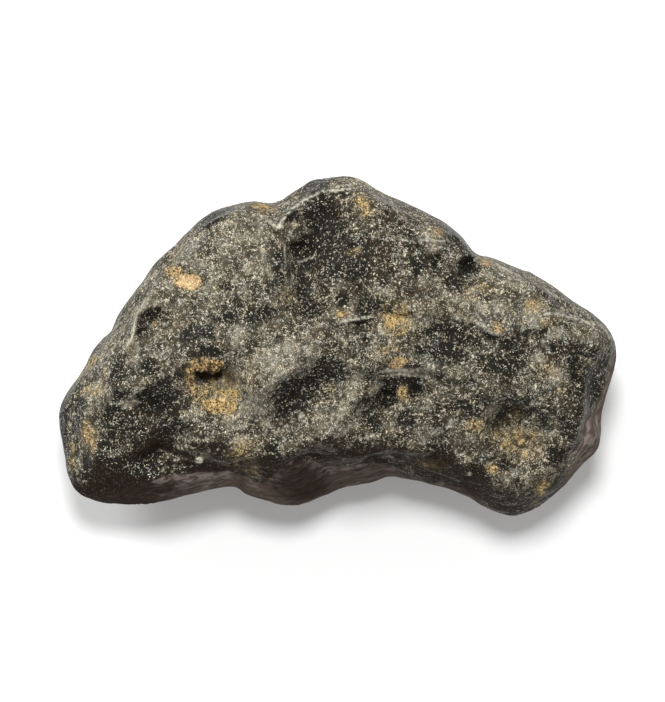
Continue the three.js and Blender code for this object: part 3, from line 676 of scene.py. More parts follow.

# %% [markdown]
# ## Bare rock and painted shade
# Wind has swept the valleys and has worn the far edges, so that the rock's own near-black
# skin shows. These patches take dust away. They also paint shade: the holes, the undercut
# under the ledge, the lobe under the lip, the scoop's head and the shaded walls of the
# trough and the valley are darkened as shade.

# %% Bare patches, which also paint shade
# name, x, y, half length, half width, turn, strength
BARE_AND_SHADE = [
    ("trough", -1.9, 14.6, 1.8, 3.3, 10, 1.0),
    ("trough's hole", -4.1, 10.7, 1.0, 0.9, 0, 0.8),
    ("trough's foot", -3.8, 6.6, 1.0, 2.7, 0, 0.7),
    ("oval valley", -4.3, -5.2, 3.1, 2.0, 52, 0.6),
    ("valley's head", -0.5, -2.7, 1.6, 1.3, 30, 0.5),
    ("left hollow", -20.1, -6.2, 2.7, 1.7, -15, 0.9),
    ("left foot's edge", -22.0, -15.9, 5.1, 1.0, 3, 1.0),
    ("left gully", -20.6, -11.7, 2.4, 0.9, 36, 0.9),
    ("left middle", -25.1, -9.3, 1.6, 1.4, 0, 0.5),
    ("middle gully", 2.7, 2.4, 0.9, 3.3, 5, 0.4),
    ("below the step", 12.7, 1.5, 4.7, 1.2, -6, 0.7),
    ("right middle", 19.4, -0.4, 2.4, 1.1, 0, 0.6),
    ("right plateau", 26.1, -0.4, 3.1, 1.0, -10, 0.6),
    ("right end", 27.5, -5.4, 1.4, 2.7, -20, 0.7),
    ("scoop's head", 18.9, -7.7, 1.8, 1.0, 20, 1.0),
    ("near dent", 11.4, -12.4, 1.2, 2.2, 5, 0.7),
    ("right near dent", 15.2, -15.2, 1.7, 1.2, 0, 1.0),
    ("toe", 18.1, -17.6, 3.8, 0.9, -8, 0.35),
    ("right of the ridge", 4.1, -8.6, 1.0, 2.2, 20, 0.5),
    ("left of the pit", -24.2, -3.1, 0.9, 1.8, 0, 0.6),
    ("left nick", -20.4, 3.5, 0.9, 0.8, 0, 0.5),
    ("shoulder's foot", -8.2, 7.0, 1.8, 0.9, 0, 0.5),
    ("above the pit", -14.4, -0.4, 1.4, 0.9, 0, 0.8),
    ("hump's middle", 0.8, 10.2, 3.3, 2.4, 0, 0.75),
    ("hump", 2.6, 10.8, 5.5, 4.8, 0, 0.22),
    ("edge hole", 14.4, 8.9, 1.0, 1.0, 0, 2.2),
    ("small edge hole", 11.1, 9.1, 1.0, 1.0, 0, 0.5),
    ("far edge hole", 13.1, 11.9, 1.1, 0.9, -30, 0.6),
    ("ledge hole", 5.5, -5.6, 1.1, 1.0, 0, 1.2),
    ("small ledge hole", 8.5, -4.8, 0.8, 0.8, 0, 1.2),
    ("near left lip", -14.7, -13.5, 2.9, 0.5, 2, 1.2),
    ("under the near edge", -10.3, -12.1, 3.3, 1.1, 10, 0.3),
    ("left foot", -25.5, -13.2, 4.2, 3.4, 10, 0.85),
    ("left end low", -28.6, -8.5, 1.2, 5.0, 0, 0.5),
    ("middle of the left", -22.5, -8.8, 3.0, 2.0, -20, 0.5),
    ("far side of the shoulder", -14.1, 14.2, 2.0, 1.0, 25, 1.3),
    ("shoulder's left", -14.7, 10.3, 1.2, 1.0, 0, 0.2),
    ("hump's left edge", -6.3, 9.2, 0.8, 1.6, 0, 0.8),
    ("hump's left edge, far", -5.0, 14.6, 0.9, 1.0, -40, 0.7),
    ("hump's near left", -3.2, 9.3, 1.8, 1.1, 20, 0.9),
    ("hump's middle left", 0.2, 10.8, 1.4, 1.2, 0, 0.8),
    ("hump's foot", 1.4, 8.4, 1.9, 1.2, 0, 0.9),
    ("above the middle", -3.0, 3.9, 1.5, 1.1, 0, 0.8),
    ("far side of the pit", -15.6, 1.4, 2.0, 0.9, 10, 1.1),
    ("upper lip of the pit", -14.2, -1.0, 1.2, 0.6, 0, 0.7),
    ("below the pit, left", -14.6, -8.9, 2.2, 1.0, 5, 0.7),
    ("left of the gully", -19.3, -8.9, 1.6, 1.2, 0, 0.6),
    ("left strip's side", -26.9, -10.2, 1.5, 1.3, 0, 0.6),
    ("foot of the gully", -20.9, -13.6, 1.6, 1.3, 20, 1.2),
    ("left foot's near side", -23.6, -16.3, 3.0, 0.8, 8, 1.0),
    ("near middle dark", -7.1, -11.3, 0.9, 1.0, 0, 0.9),
    ("valley's left foot", -9.1, -4.1, 0.6, 0.7, 0, 0.8),
    ("near middle right dark", 3.0, -11.2, 1.3, 0.9, 0, 0.8),
    ("right of the ledge holes", 7.3, -8.4, 1.1, 1.7, -20, 0.7),
    ("right shoulder's foot", 13.2, 7.0, 1.6, 1.3, 0, 0.9),
    ("right middle dark", 11.7, -0.6, 2.4, 1.3, -10, 1.1),
    ("right middle dark, near", 18.3, -1.9, 2.2, 1.3, 0, 0.9),
    ("left of the scoop", 14.6, -7.0, 1.0, 0.9, 0, 0.6),
    ("right plateau dark", 26.2, -1.9, 1.6, 0.8, -30, 0.6),
    ("right of the scoop", 23.9, -12.0, 1.3, 1.2, 0, 0.8),
    ("scoop's near floor", 18.0, -13.3, 1.1, 0.6, 0, 0.7),
    ("toe, left", 15.4, -15.6, 2.2, 1.0, -20, 1.0),
    ("toe, near", 19.2, -17.7, 3.8, 1.3, 0, 0.35),
    ("toe, right", 23.4, -16.2, 1.0, 1.6, -40, 0.7),
    ("far edge of the hump", -2.5, 17.8, 1.8, 0.8, 15, 1.2),
    ("far edge of the hump, right", 0.7, 17.0, 1.0, 0.6, 0, 0.8),
    ("far edge, middle", 7.6, 12.6, 1.1, 0.7, -30, 0.6),
    ("far edge, right", 13.0, 12.2, 2.2, 1.3, -40, 1.3),
    ("left end's far edge", -26.8, 0.4, 0.9, 1.8, -35, 1.2),
    ("lobe under the lip", -4.2, -14.8, 2.9, 2.2, 0, 1.25),
    ("under the ledge", 7.1, -3.75, 1.9, 0.32, 0, 2.0),
    ("hump, left of the middle", -1.5, 11.5, 1.8, 2.0, 0, 1.2),
    ("hump, near", -0.8, 8.0, 1.0, 1.0, 0, 1.1),
    ("hump's near foot", 0.5, 4.8, 0.8, 1.2, 0, 0.8),
    ("shoulder, far", -11.0, 12.6, 1.0, 0.8, 0, 0.3),
    ("shoulder, near", -12.0, 6.6, 1.1, 0.5, 0, 0.8),
    ("shoulder's dip", -8.7, 9.0, 0.8, 0.6, 0, 0.4),
    ("below the shoulder", -8.5, 3.5, 2.0, 0.8, 10, 0.8),
    ("below the shoulder, left", -12.5, 3.2, 1.5, 0.6, 0, 0.6),
    ("left of the pit, far", -20.8, -2.2, 1.1, 1.0, 40, 0.7),
    ("left end middle", -25.3, -10.8, 1.2, 1.5, 0, 0.8),
    ("left end, far", -27.4, -8.1, 0.9, 0.7, 0, 0.8),
    ("between pit and gully", -19.5, -7.3, 1.2, 0.6, 0, 0.7),
    ("right of the band", 9.3, -0.4, 0.9, 0.7, 0, 1.0),
    ("right shoulder's middle", 16.2, 5.5, 1.0, 0.8, 0, 0.9),
    ("right plateau's dent", 21.9, -2.3, 0.8, 0.7, 0, 0.8),
    ("hump's right side", 8.9, 9.0, 0.9, 1.6, 0, 0.7),
    ("hump's dark spot", 5.0, 6.9, 0.7, 0.6, 0, 0.8),
    ("near right middle", 10.8, -13.4, 2.2, 1.4, 0, 0.7),
    ("left of the toe", 15.4, -14.3, 1.2, 1.2, 0, 0.7),
    ("right end, middle", 25.6, -8.9, 1.2, 1.2, 0, 0.7),
    ("right end, far", 27.8, -5.9, 0.8, 1.2, -20, 0.7),
    ("near middle left dark", -7.8, -12.6, 1.4, 1.2, 0, 0.6),
    ("near middle dark strip", 1.5, -11.9, 3.5, 0.6, 5, 0.6),
    ("left near edge", -14.5, -13.3, 2.5, 0.6, 0, 0.6),
    ("left rim", -30.7, -9.5, 0.8, 5.0, 0, 1.2),
    ("left foot's rim", -29.3, -16.3, 1.6, 1.6, 0, 1.3),
    ("left foot's near rim", -24.0, -17.6, 5.0, 1.3, 3, 1.4),
    ("hole under the crust", -14.8, -3.3, 0.8, 0.6, 0, 1.5),
    ("right half of that hole", -13.2, -3.1, 0.6, 0.4, 15, 1.5),
]
print("bare patches:", len(BARE_AND_SHADE))

# %% [markdown]
# ## The side wall
# Under the lip of the face the stone looks different: smooth, purple-brown and streaked,
# without the pale flecks. The lip is drawn as one line round the near and right sides, and
# everything outside it is wall. Elsewhere the wall begins low on the side, where the surface
# turns steep, along a ragged border. The far side and the underside, which the photograph
# does not show, keep patches of the flecked rock, so that it looks like one stone all round.

# %% The line of the lip
WALL_LINE = [
    (-27.5, -16.6), (-25.0, -16.3), (-22.0, -15.2), (-19.5, -14.3), (-17.4, -13.9), (-14.6, -13.7),
    (-12.3, -13.7), (-10.4, -14.2), (-8.4, -15.2), (-6.4, -13.4), (-4.4, -12.1), (-3.3, -12.2),
    (-1.4, -12.9), (0.5, -13.4), (2.6, -12.9), (4.7, -12.8), (6.0, -13.3), (7.6, -14.3),
    (11.1, -15.4), (13.0, -15.4), (15.4, -15.9), (16.1, -17.2), (18.5, -19.5), (23.2, -17.2),
    (25.1, -14.9), (26.2, -12.9), (26.6, -11.3), (27.0, -9.6), (27.7, -8.2), (28.3, -7.0),
    (29.2, -5.1), (30.2, -2.2),
]
BACK_PATCHES = 0.9

to_right, to_far, to_sky = normals_of(points, triangles).T
at_x, at_y, height = points.T
distance, side = stroke_distance(WALL_LINE)
frayed = ripple(0.9, 21)
outside_lip = rise(side * distance + 0.25 * frayed, -0.2, 0.3) * rise(at_x, -31, -27)

# Elsewhere: upright or undercut, and low on the stone; in patches at the far side and below
steep = rise(-to_sky + 0.18 * frayed, -0.30, -0.05)
steep *= rise(-height + 2 * frayed + 5 * ripple(5.0, 29), -16, -11)
far_side = np.maximum(rise(to_far, -0.3, 0.3), rise(-to_sky, 0.45, 0.8))
steep *= 1 - BACK_PATCHES * far_side * rise(ripple(3.0, 28) + 0.3 * frayed, -0.25, 0.25)
near_lip = rise(-to_far, 0.1, 0.5) * rise(-at_y, 8, 11) * rise(at_x, -27, -21) * rise(height, 9, 12)
wall = np.maximum(outside_lip, steep * (1 - near_lip)) * rise(-to_sky, -0.93, -0.75)
print("share of points on the wall:", round(float(wall.mean()), 2))

# %% [markdown]
# ## Laying down soil, dust, painted light and painted shade
# The tables become numbers: each point takes the strongest patch that covers it. Sums would
# be simpler, but where patches overlap they would show as spots. Waves fray the soil and
# mottle the dust, because wind and water leave nothing even. Where rock is swept bare or
# painted as shade, the dust mask is weaker.

# %% Soil, bare rock, dust, painted light and painted shade
DUST_EVERYWHERE = 0.36
DUST_AND_LIGHT_IN_PATCHES = 0.7
SWEPT_OR_SHADED = 0.6
# strength, width, seed of each set of waves
MOTTLE = [(0.25, 3.6, 22), (0.40, 1.5, 23), (0.30, 0.8, 24)]


def painted(patches, steepness=3):
    """The strongest of a list of patches: name, x, y, half length, half width, turn, strength."""
    total = np.zeros(point_count)
    for name, x, y, long, wide, turn, strength, *_ in patches:
        total = np.maximum(total, strength * spot(x, y, long, wide, turn, steepness))
    return total


facing_up = rise(to_sky, 0.0, 0.3)
soil = painted(SOIL) * facing_up * (1 + 0.8 * frayed + 0.6 * ripple(0.45, 25))
shares = [spot(*row[1:6], 2) for row in SOIL]
warmth = sum(row[7] * share for row, share in zip(SOIL, shares)) / (0.01 + sum(shares))
# The bare mask also paints shade: holes, undercuts and the shaded walls of the trough and valley
# are darkened.
bare_and_shade = painted(BARE_AND_SHADE) * np.maximum(facing_up, 0.8 * outside_lip * rise(to_sky, -0.5, -0.2))
mottle = sum(strength * ripple(width, seed) for strength, width, seed in MOTTLE)
dust_and_light = DUST_EVERYWHERE + mottle * (1 - SWEPT_OR_SHADED * np.clip(bare_and_shade, 0, 1))
# The dust patches also paint light on slopes that face the light and on crests with a sheen.
dust_and_light = dust_and_light + DUST_AND_LIGHT_IN_PATCHES * painted(DUST_AND_LIGHT) - SWEPT_OR_SHADED * bare_and_shade
dust_and_light -= 0.08 * rise(-to_sky, -0.8, -0.5) * rise(to_far, -0.3, 0.1)
print("mean soil, bare, dust:", [round(float(mask.mean()), 2) for mask in (soil, bare_and_shade, dust_and_light)])

# %% [markdown]
# ## Painted highlights on crests, and pale grains
# The thin crests catch the light, and their highlights are painted as pale lines. A few
# mineral grains, called clasts, are pale all through; the same table also paints two
# highlight dots, the trough's bright mark and the dot in the scoop's head. Most highlight
# lines reuse the strokes that raised the crests, so that the colour sits on the form. The
# same mask paints light on the top of the wall, which catches the light.

# %% Painted highlight lines and clasts
# Painted highlights: pale lines along the thin crests, where they catch the light.
# name, width, strength, and corners if they aren't those of the stroke with the same name
HIGHLIGHT_LINES = [
    ("crest of the trough", 0.13, 0.7,
     [(-7.3, 13.5), (-6.6, 13.1), (-5.0, 15.2), (-3.8, 16.1), (-1.7, 17.1), (1.4, 17.4)]),
    ("left edge of the hump", 0.11, 0.5),
    ("lip under the trough's hole", 0.11, 0.6),
    ("middle lip", 0.12, 0.7, [(0.3, 2.65), (1.9, 3.0), (3.9, 3.3)]),
    ("first scratch", 0.08, 0.6),
    ("second scratch", 0.08, 0.6, [(9.0, 11.7), (12.2, 11.6)]),
    ("right shoulder line", 0.12, 0.6),
    ("line near the right edge", 0.11, 0.5),
    ("right crest", 0.13, 0.6, [(23.0, 3.6), (24.6, 3.6), (26.1, 3.2), (27.4, 2.8), (28.3, 2.1)]),
    ("right end line", 0.11, 0.6, [(29.2, 2.5), (30.2, 1.0)]),
    ("crest in the right middle", 0.12, 0.6),
    ("left crest", 0.13, 0.7, [(-20.9, 5.4), (-22.2, 3.5), (-22.5, 1.3), (-23.1, 0.2)]),
    ("lip of the left hollow", 0.13, 0.6),
    ("ledge's edge", 0.22, 0.3, [(5.2, -2.7), (6.9, -2.55), (8.8, -2.75)]),
]
# Pale clasts, and two painted highlight dots: the trough's bright mark and the dot in the scoop's
# head.
# name, x, y, half length, half width, turn, strength
CLASTS_AND_HIGHLIGHTS = [
    ("cream clast", -15.3, -12.6, 0.38, 0.31, 10, 3.0),
    ("ledge's face", 7.0, -2.85, 2.0, 0.35, -3, 0.3),
    ("pale clast", 3.6, -10.0, 0.34, 0.28, 30, 1.2),
    ("clast in the valley", -4.0, -7.6, 0.36, 0.3, 0, 0.6),
    ("trough's bright mark", -6.4, 13.2, 0.35, 0.25, 50, 1.1),
    ("dot in the scoop's head", 19.1, -7.7, 0.18, 0.18, 0, 1.2),
    ("dot in the toe", 14.6, -14.1, 0.22, 0.2, 0, 0.9),
]
CLAST_STEEPNESS = 5
# Painted light on the wall: its upper part on the near and right sides is painted lighter, the
# right side most.
WALL_PAINTED_LIGHT, RIGHT_WALL_PAINTED_LIGHT = 0.48, 0.2

right_side = rise(to_right, 0.35, 0.8) * rise(at_x, 20, 24)
painted_wall_light = WALL_PAINTED_LIGHT + RIGHT_WALL_PAINTED_LIGHT * right_side
painted_wall_light = painted_wall_light * rise(wall, 0.4, 1) * rise(height, 10, 17)
painted_wall_light *= rise(-to_far + right_side, 0.1, 0.5) * (1 - 0.9 * np.clip(bare_and_shade, 0, 1))
clasts_and_highlights = painted(CLASTS_AND_HIGHLIGHTS, CLAST_STEEPNESS) * (1 + 0.7 * ripple(0.5, 26))
pale = np.maximum(clasts_and_highlights, painted_wall_light * (1 + 0.5 * frayed))
raised = {name: corners for name, _, _, corners in FACE_STROKES}
for name, width, strength, *own_corners in HIGHLIGHT_LINES:
    corners = own_corners[0] if own_corners else raised[name]
    pale = np.maximum(pale, strength * stroke(corners, width))
pale = np.clip(pale, 0, 3) * facing_up
print("pale points:", int((pale > 0.5).sum()))

# %% [markdown]
# ## The dark near lip: painted shade
# Where the face bends down to the near wall, the photograph shows dark brown rock with few
# flecks. Slopes that face the near side, away from the lamps, are painted darker as shade
# all over the face, and the rim along the near lip is painted darkest. At the toe on the
# right this painted shade is a little weaker.

# %% The near lip's painted shade
NEAR_RIM = [
    (-6.5, -12.6), (-4.8, -12.5), (-3.1, -11.9), (-0.8, -12.4), (2.3, -12.5), (3.8, -12.0),
    (5.6, -11.7), (9.2, -11.9), (12.5, -12.3),
]
RIM_WIDTH = 0.7

off_toe = 1 - 0.2 * rise(at_x, 13, 16)
rim = stroke(NEAR_RIM, RIM_WIDTH)
near_edge = rise(-at_y, 8.5, 11) * rise(-to_far, 0.15, 0.65) * off_toe
lip = np.maximum(near_edge * facing_up * (1 - 0.5 * np.clip(dust_and_light, 0, 1)), 0.7 * rim)
# Painted shade: every slope that faces the near side, away from the lamps, is darkened.
bare_and_shade = bare_and_shade + 0.9 * rise(-to_far, 0.15, 0.55) * facing_up * off_toe * (1 - 0.6 * outside_lip)
bare_and_shade = np.maximum(bare_and_shade, rim)
masks = {
    "soil": soil, "warmth": warmth, "bare_and_shade": bare_and_shade, "dust_and_light": np.clip(dust_and_light, 0, 1), "wall": wall,
    "pale": pale, "lip": lip,
}
print({name: round(float(values.mean()), 3) for name, values in masks.items()})

# %% [markdown]
# ## Back into a mesh
# The arrays become an ordinary Blender mesh again, and the numbers become attributes of it.

# %% Put the points and masks back into a mesh
stone_mesh = bpy.data.meshes.new("stone_surface")
stone_mesh.vertices.add(point_count)
stone_mesh.vertices.foreach_set("co", (points * MM).ravel())
stone_mesh.loops.add(triangles.size)
stone_mesh.loops.foreach_set("vertex_index", triangles.ravel().astype(np.int32))
stone_mesh.polygons.add(len(triangles))
stone_mesh.polygons.foreach_set("loop_start", np.arange(0, triangles.size, 3, dtype=np.int32))
stone_mesh.polygons.foreach_set("use_smooth", np.ones(len(triangles), dtype=bool))
stone_mesh.update(calc_edges=True)
for name, values in masks.items():
    layer = stone_mesh.attributes.new(name, "FLOAT", "POINT")
    layer.data.foreach_set("value", values.astype(np.float32))
stone = bpy.data.objects.new("meteorite", stone_mesh)
scene.collection.objects.link(stone)
print("mesh faults mended:", stone_mesh.validate())

# %% [markdown]
# ## Wiring a material
# A material is a web of small nodes. These helpers keep the wiring readable: each adds one
# node, plugs in what it is given, and hands back the node's output. They work on the
# material at hand: the name web is its web of nodes and place its coordinates.

# %% Start a material and plug things in
def new_material(name):
    """A material with an empty web, its shader and its coordinates in millimetres."""
    material = bpy.data.materials.new(name)
    material.use_nodes = True
    web = material.node_tree
    place = web.nodes.new("ShaderNodeTexCoord")
    to_mm = web.nodes.new("ShaderNodeVectorMath")
    to_mm.operation = "MULTIPLY"
    to_mm.inputs[1].default_value = (1 / MM, 1 / MM, 1 / MM)
    web.links.new(place.outputs["Object"], to_mm.inputs[0])
    return material, web, to_mm.outputs[0]


def plug(socket, value):
    """Links an output to a socket, or sets the socket to a plain value."""
    if isinstance(value, bpy.types.NodeSocket):
        web.links.new(value, socket)
    elif isinstance(value, tuple) and len(value) == 3 and socket.type == "RGBA":
        socket.default_value = (*value, 1)
    else:
        socket.default_value = value


def bump(height, strength, depth):
    """Turns a height into small relief of the shader, depth in millimetres."""
    relief = web.nodes.new("ShaderNodeBump")
    relief.inputs["Strength"].default_value = strength
    relief.inputs["Distance"].default_value = depth * MM
    plug(relief.inputs["Height"], height)
    plug(web.nodes["Principled BSDF"].inputs["Normal"], relief.outputs["Normal"])


print("helpers that start a material are ready")

# %% [markdown]
# ## Numbers and colours
# Four kinds of node do nearly all the work in this stone: noise, arithmetic, a soft step and
# a blend of two colours. Each gets a helper with a short name, so that a line of this file
# reads like a sentence about the rock.

# %% Numbers and colours in the web
def attribute(name):
    """One of the numbers that the mesh carries for every point."""
    reader = web.nodes.new("ShaderNodeAttribute")
    reader.attribute_name = name
    return reader.outputs["Fac"]


def waves(per_mm, detail=2.0, distortion=0.0, stretch=None, seed=0.0):
    """Noise from 0 to 1 with so many waves to a millimetre."""
    texture = web.nodes.new("ShaderNodeTexNoise")
    texture.noise_dimensions = "4D"
    settings = {
        "Scale": per_mm, "Detail": detail, "Distortion": distortion, "W": seed, "Vector": place,
    }
    if stretch:
        squeeze = web.nodes.new("ShaderNodeVectorMath")
        squeeze.operation = "MULTIPLY"
        squeeze.inputs[1].default_value = stretch
        plug(squeeze.inputs[0], place)
        settings["Vector"] = squeeze.outputs[0]
    for socket, value in settings.items():
        plug(texture.inputs[socket], value)
    return texture.outputs["Fac"]


def chain(operation):
    """A helper that chains one kind of Math node over all its values."""
    def over(result, *others):
        for value in others:
            step = web.nodes.new("ShaderNodeMath")
            step.operation = operation
            plug(step.inputs[0], result)
            plug(step.inputs[1], value)
            result = step.outputs[0]
        return result
    return over


plus, minus, times = chain("ADD"), chain("SUBTRACT"), chain("MULTIPLY")
largest, smallest = chain("MAXIMUM"), chain("MINIMUM")


def soft_step(value, low, high, to_low=0.0, to_high=1.0):
    """A smooth change from one number to another while the value goes from low to high."""
    change = web.nodes.new("ShaderNodeMapRange")
    change.interpolation_type = "SMOOTHSTEP"
    ends = {"From Min": low, "From Max": high, "To Min": to_low, "To Max": to_high}
    for socket, number in {"Value": value, **ends}.items():
        plug(change.inputs[socket], number)
    return change.outputs["Result"]


def blend(share, first, second):
    """A colour between two colours."""
    mixer = web.nodes.new("ShaderNodeMix")
    mixer.data_type = "RGBA"
    for socket, value in {"Factor": share, "A": first, "B": second}.items():
        plug(mixer.inputs[socket], value)
    return mixer.outputs["Result"]


print("helpers for numbers and colours are ready")

# %% [markdown]
# ## The rock
# Under its dust the stone's skin is nearly black, browner in some places and olive in
# others, and cooler where it is swept bare or painted as shade. Along the near lip a darker
# brown paints shade. One dark colour would look like rubber. So large soft waves mix the
# tones, and no two parts of the stone look quite alike.

# %% Colours of the rock
CHARCOAL = (0.0125, 0.0116, 0.0084)
BROWN_ROCK = (0.029, 0.0210, 0.0135)
OLIVE_ROCK = (0.0280, 0.0272, 0.0180)
SLATE_ROCK = (0.0180, 0.0168, 0.0138)
LIP_SHADE = (0.0240, 0.0165, 0.0110)

rock, web, place = new_material("meteorite_rock")
dust_and_light_here = attribute("dust_and_light")
soil_here = attribute("soil")
bare_and_shade_here = attribute("bare_and_shade")
wall_here = attribute("wall")
pale_and_highlight_mask = attribute("pale")
lip_shade_here = attribute("lip")

rock_tone = blend(soft_step(waves(0.45, seed=1.0), 0.42, 0.60), CHARCOAL, BROWN_ROCK)
rock_tone = blend(soft_step(waves(1.1, seed=15.0), 0.48, 0.66), rock_tone, OLIVE_ROCK)
rock_tone = blend(soft_step(bare_and_shade_here, 0.1, 0.9), rock_tone, SLATE_ROCK)
# Painted shade along the near lip.
rock_tone = blend(lip_shade_here, rock_tone, LIP_SHADE)
print("nodes so far:", len(web.nodes))

# %% [markdown]
# ## The film of dust
# Dust lies on the rock as a thin film that the rock shows through. A second layer of mesh
# would be too thick for it, so the film is only a share of its colour in the rock's. The
# share comes from the dust mask, which also paints light on lit slopes and sheen, and from
# fine waves, which give the film its grain. Bare rock and painted shade thin the film.

# %% Film of dust
DUST_FILM = (0.130, 0.115, 0.076)
SLATE_FILM = (0.105, 0.102, 0.080)
BROWN_FILM = (0.105, 0.082, 0.057)
PALE_FILM = (0.195, 0.178, 0.136)
SOIL_FILM = (0.160, 0.120, 0.060)

soil_film = soft_step(soil_here, 0.0, 0.8)
film_tone = blend(soft_step(waves(0.30, seed=21.0), 0.50, 0.64), DUST_FILM, SLATE_FILM)
film_tone = blend(soft_step(waves(0.35, seed=22.0), 0.50, 0.66), film_tone, BROWN_FILM)
film_tone = blend(soft_step(dust_and_light_here, 0.50, 1.0, 0.0, 0.75), film_tone, PALE_FILM)
film_tone = blend(soil_film, film_tone, SOIL_FILM)

film_grain = plus(times(waves(1.8, 3.0, seed=2.0), 0.35), times(waves(6.0, 1.0, seed=24.0), 0.60))
film = minus(plus(dust_and_light_here, film_grain), times(bare_and_shade_here, 0.35))
film = largest(soft_step(film, 0.36, 1.44), times(soil_film, 0.6))
film = times(film, soft_step(waves(7.0, 1.0, seed=27.0), 0.36, 0.54, 0.45, 1.0))
rock_with_dust_and_light = blend(film, rock_tone, film_tone)
print("nodes so far:", len(web.nodes))

# %% [markdown]
# ## Flecks
# Seen close, the face is near-black rock under a net of pale flecks, each only two or three
# tenths of a millimetre wide. Flecks could be modelled, but they are only colour. A noise
# texture has long thin lines where it passes its middle value, and a second noise cuts the
# lines into short curls: that is just what the flecks look like. Three sizes of curls and
# some dots lie over each other; the dots also stand for painted glints. Where dust lies, and
# where the dust mask paints light, there are more of them.

# %% Flecks
CREAM = (0.82, 0.73, 0.54)
GREY_WHITE = (0.72, 0.695, 0.58)
TAN = (0.50, 0.37, 0.22)
GOLD = (0.74, 0.60, 0.36)
# lines to a millimetre, half their width, cuts to a millimetre, seed
CURLS = [(1.5, 0.030, 1.7, 3.0), (1.9, 0.034, 2.2, 4.0), (2.6, 0.040, 2.8, 20.0)]


def curls(per_mm, width, cut_per_mm, seed):
    """Short curls: the places where one noise passes its middle value, cut short by another."""
    lines = waves(per_mm, 1.0, distortion=1.6, seed=seed)
    off_middle = largest(minus(lines, 0.5), minus(0.5, lines))
    cutter = waves(cut_per_mm, 1.0, seed=seed + 0.5)
    cutter = plus(cutter, times(dust_and_light_here, 0.12), times(soil_film, 0.04))
    cutter = minus(cutter, times(bare_and_shade_here, 0.05))
    return times(soft_step(off_middle, width, width / 4), soft_step(cutter, 0.55, 0.64))


# The dots are pale specks and also painted glints.
dots_and_glints = soft_step(plus(waves(6.5, 0.0, seed=5.0), times(dust_and_light_here, 0.03)), 0.70, 0.77)
flecks = largest(*(curls(*row) for row in CURLS), dots_and_glints)
flecks = times(
    flecks, soft_step(waves(2.0, 1.0, seed=17.0), 0.30, 0.60, 0.35, 1.0),
    soft_step(lip_shade_here, 0.2, 1.0, 1.0, 0.25), soft_step(dust_and_light_here, 0.5, 1.0, 1.0, 0.85),
)
fleck_tone = blend(soft_step(waves(0.8, seed=6.0), 0.40, 0.60), CREAM, GREY_WHITE)
fleck_tone = blend(soft_step(waves(1.4, seed=16.0), 0.58, 0.72), fleck_tone, TAN)
fleck_tone = blend(soil_film, fleck_tone, GOLD)
face_tone = blend(flecks, rock_with_dust_and_light, fleck_tone)
print("nodes so far:", len(web.nodes))

# %% [markdown]
# ## Soil
# The soil is desert sand and clay that stuck in the hollows. Where it is thin the rock
# shows through between its grains, so the patch's strength is compared with a grainy noise
# instead of being mixed in evenly.

# %% Soil
GOLDEN_SAND = (0.46, 0.318, 0.112)
ORANGE_CLAY = (0.55, 0.375, 0.215)
LIGHT_GRAIN = (0.82, 0.64, 0.34)
DARK_SAND = (0.060, 0.035, 0.013)

grains = waves(4.4, 1.0, distortion=0.4, seed=7.0)
cover = soft_step(minus(soil_here, times(grains, 1.15)), 0.02, 0.40)
soil_tone = blend(attribute("warmth"), GOLDEN_SAND, ORANGE_CLAY)
soil_tone = blend(soft_step(waves(6.4, 1.0, seed=23.0), 0.50, 0.60), soil_tone, LIGHT_GRAIN)
dark_grains = soft_step(waves(5.2, 2.0, distortion=0.8, seed=8.0), 0.49, 0.60)
dark_grains = times(dark_grains, soft_step(soil_here, 1.2, 2.2, 1.0, 0.45))
soil_tone = blend(dark_grains, soil_tone, DARK_SAND)
with_soil = blend(cover, face_tone, soil_tone)
print("nodes so far:", len(web.nodes))

# %% [markdown]
# ## Wall, painted light and shade, and pale rock
# The wall under the lip is smooth and purple-brown, with level streaks. A noise that is fine
# upwards and long sideways gives them without any drawing. Large blotches of brown break
# them up. Where the bare mask lies, partly painted shade, the wall turns deep brown, and
# along the top of the wall painted light lies in streaks. The painted highlights on the
# crests and the pale clasts come last, because they lie over everything else.

# %% Wall, painted light and shade, and pale rock
WALL_PURPLE = (0.190, 0.154, 0.138)
WALL_BROWN = (0.100, 0.073, 0.057)
WALL_DARK = (0.026, 0.018, 0.014)
DEEP_BROWN_AND_SHADE = (0.018, 0.010, 0.005)
WALL_PAINTED_HIGHLIGHT = (0.40, 0.335, 0.305)
PALE_ROCK_AND_HIGHLIGHT = (0.74, 0.70, 0.56)

level_streaks = waves(1.1, 5.0, distortion=1.1, stretch=(0.6, 0.6, 1.7), seed=9.0)
blotches = soft_step(waves(0.5, 2.0, seed=25.0), 0.40, 0.62, 0.0, 0.75)
wall_tone = blend(soft_step(level_streaks, 0.26, 0.44), WALL_DARK, WALL_BROWN)
wall_tone = blend(soft_step(level_streaks, 0.48, 0.66), wall_tone, WALL_PURPLE)
wall_tone = blend(blotches, wall_tone, WALL_BROWN)
# Painted shade: deep brown where the bare mask reaches the wall.
wall_tone = blend(soft_step(bare_and_shade_here, 0.0, 1.0, 0.0, 0.88), wall_tone, DEEP_BROWN_AND_SHADE)
# Painted light in streaks along the top of the wall.
painted_light_streaks = times(pale_and_highlight_mask, soft_step(level_streaks, 0.42, 0.62, 0.15, 1.2))
wall_tone = blend(painted_light_streaks, wall_tone, WALL_PAINTED_HIGHLIGHT)

# Pale clasts and painted highlights on the crests.
pale_and_highlight_here = times(pale_and_highlight_mask, soft_step(waves(2.6, 2.0, seed=19.0), 0.36, 0.56))
pale_and_highlight_here = times(smallest(pale_and_highlight_here, 1.0), soft_step(wall_here, 0.0, 0.4, 1.0, 0.0))
colour = blend(pale_and_highlight_here, blend(wall_here, with_soil, wall_tone), PALE_ROCK_AND_HIGHLIGHT)
print("nodes so far:", len(web.nodes))

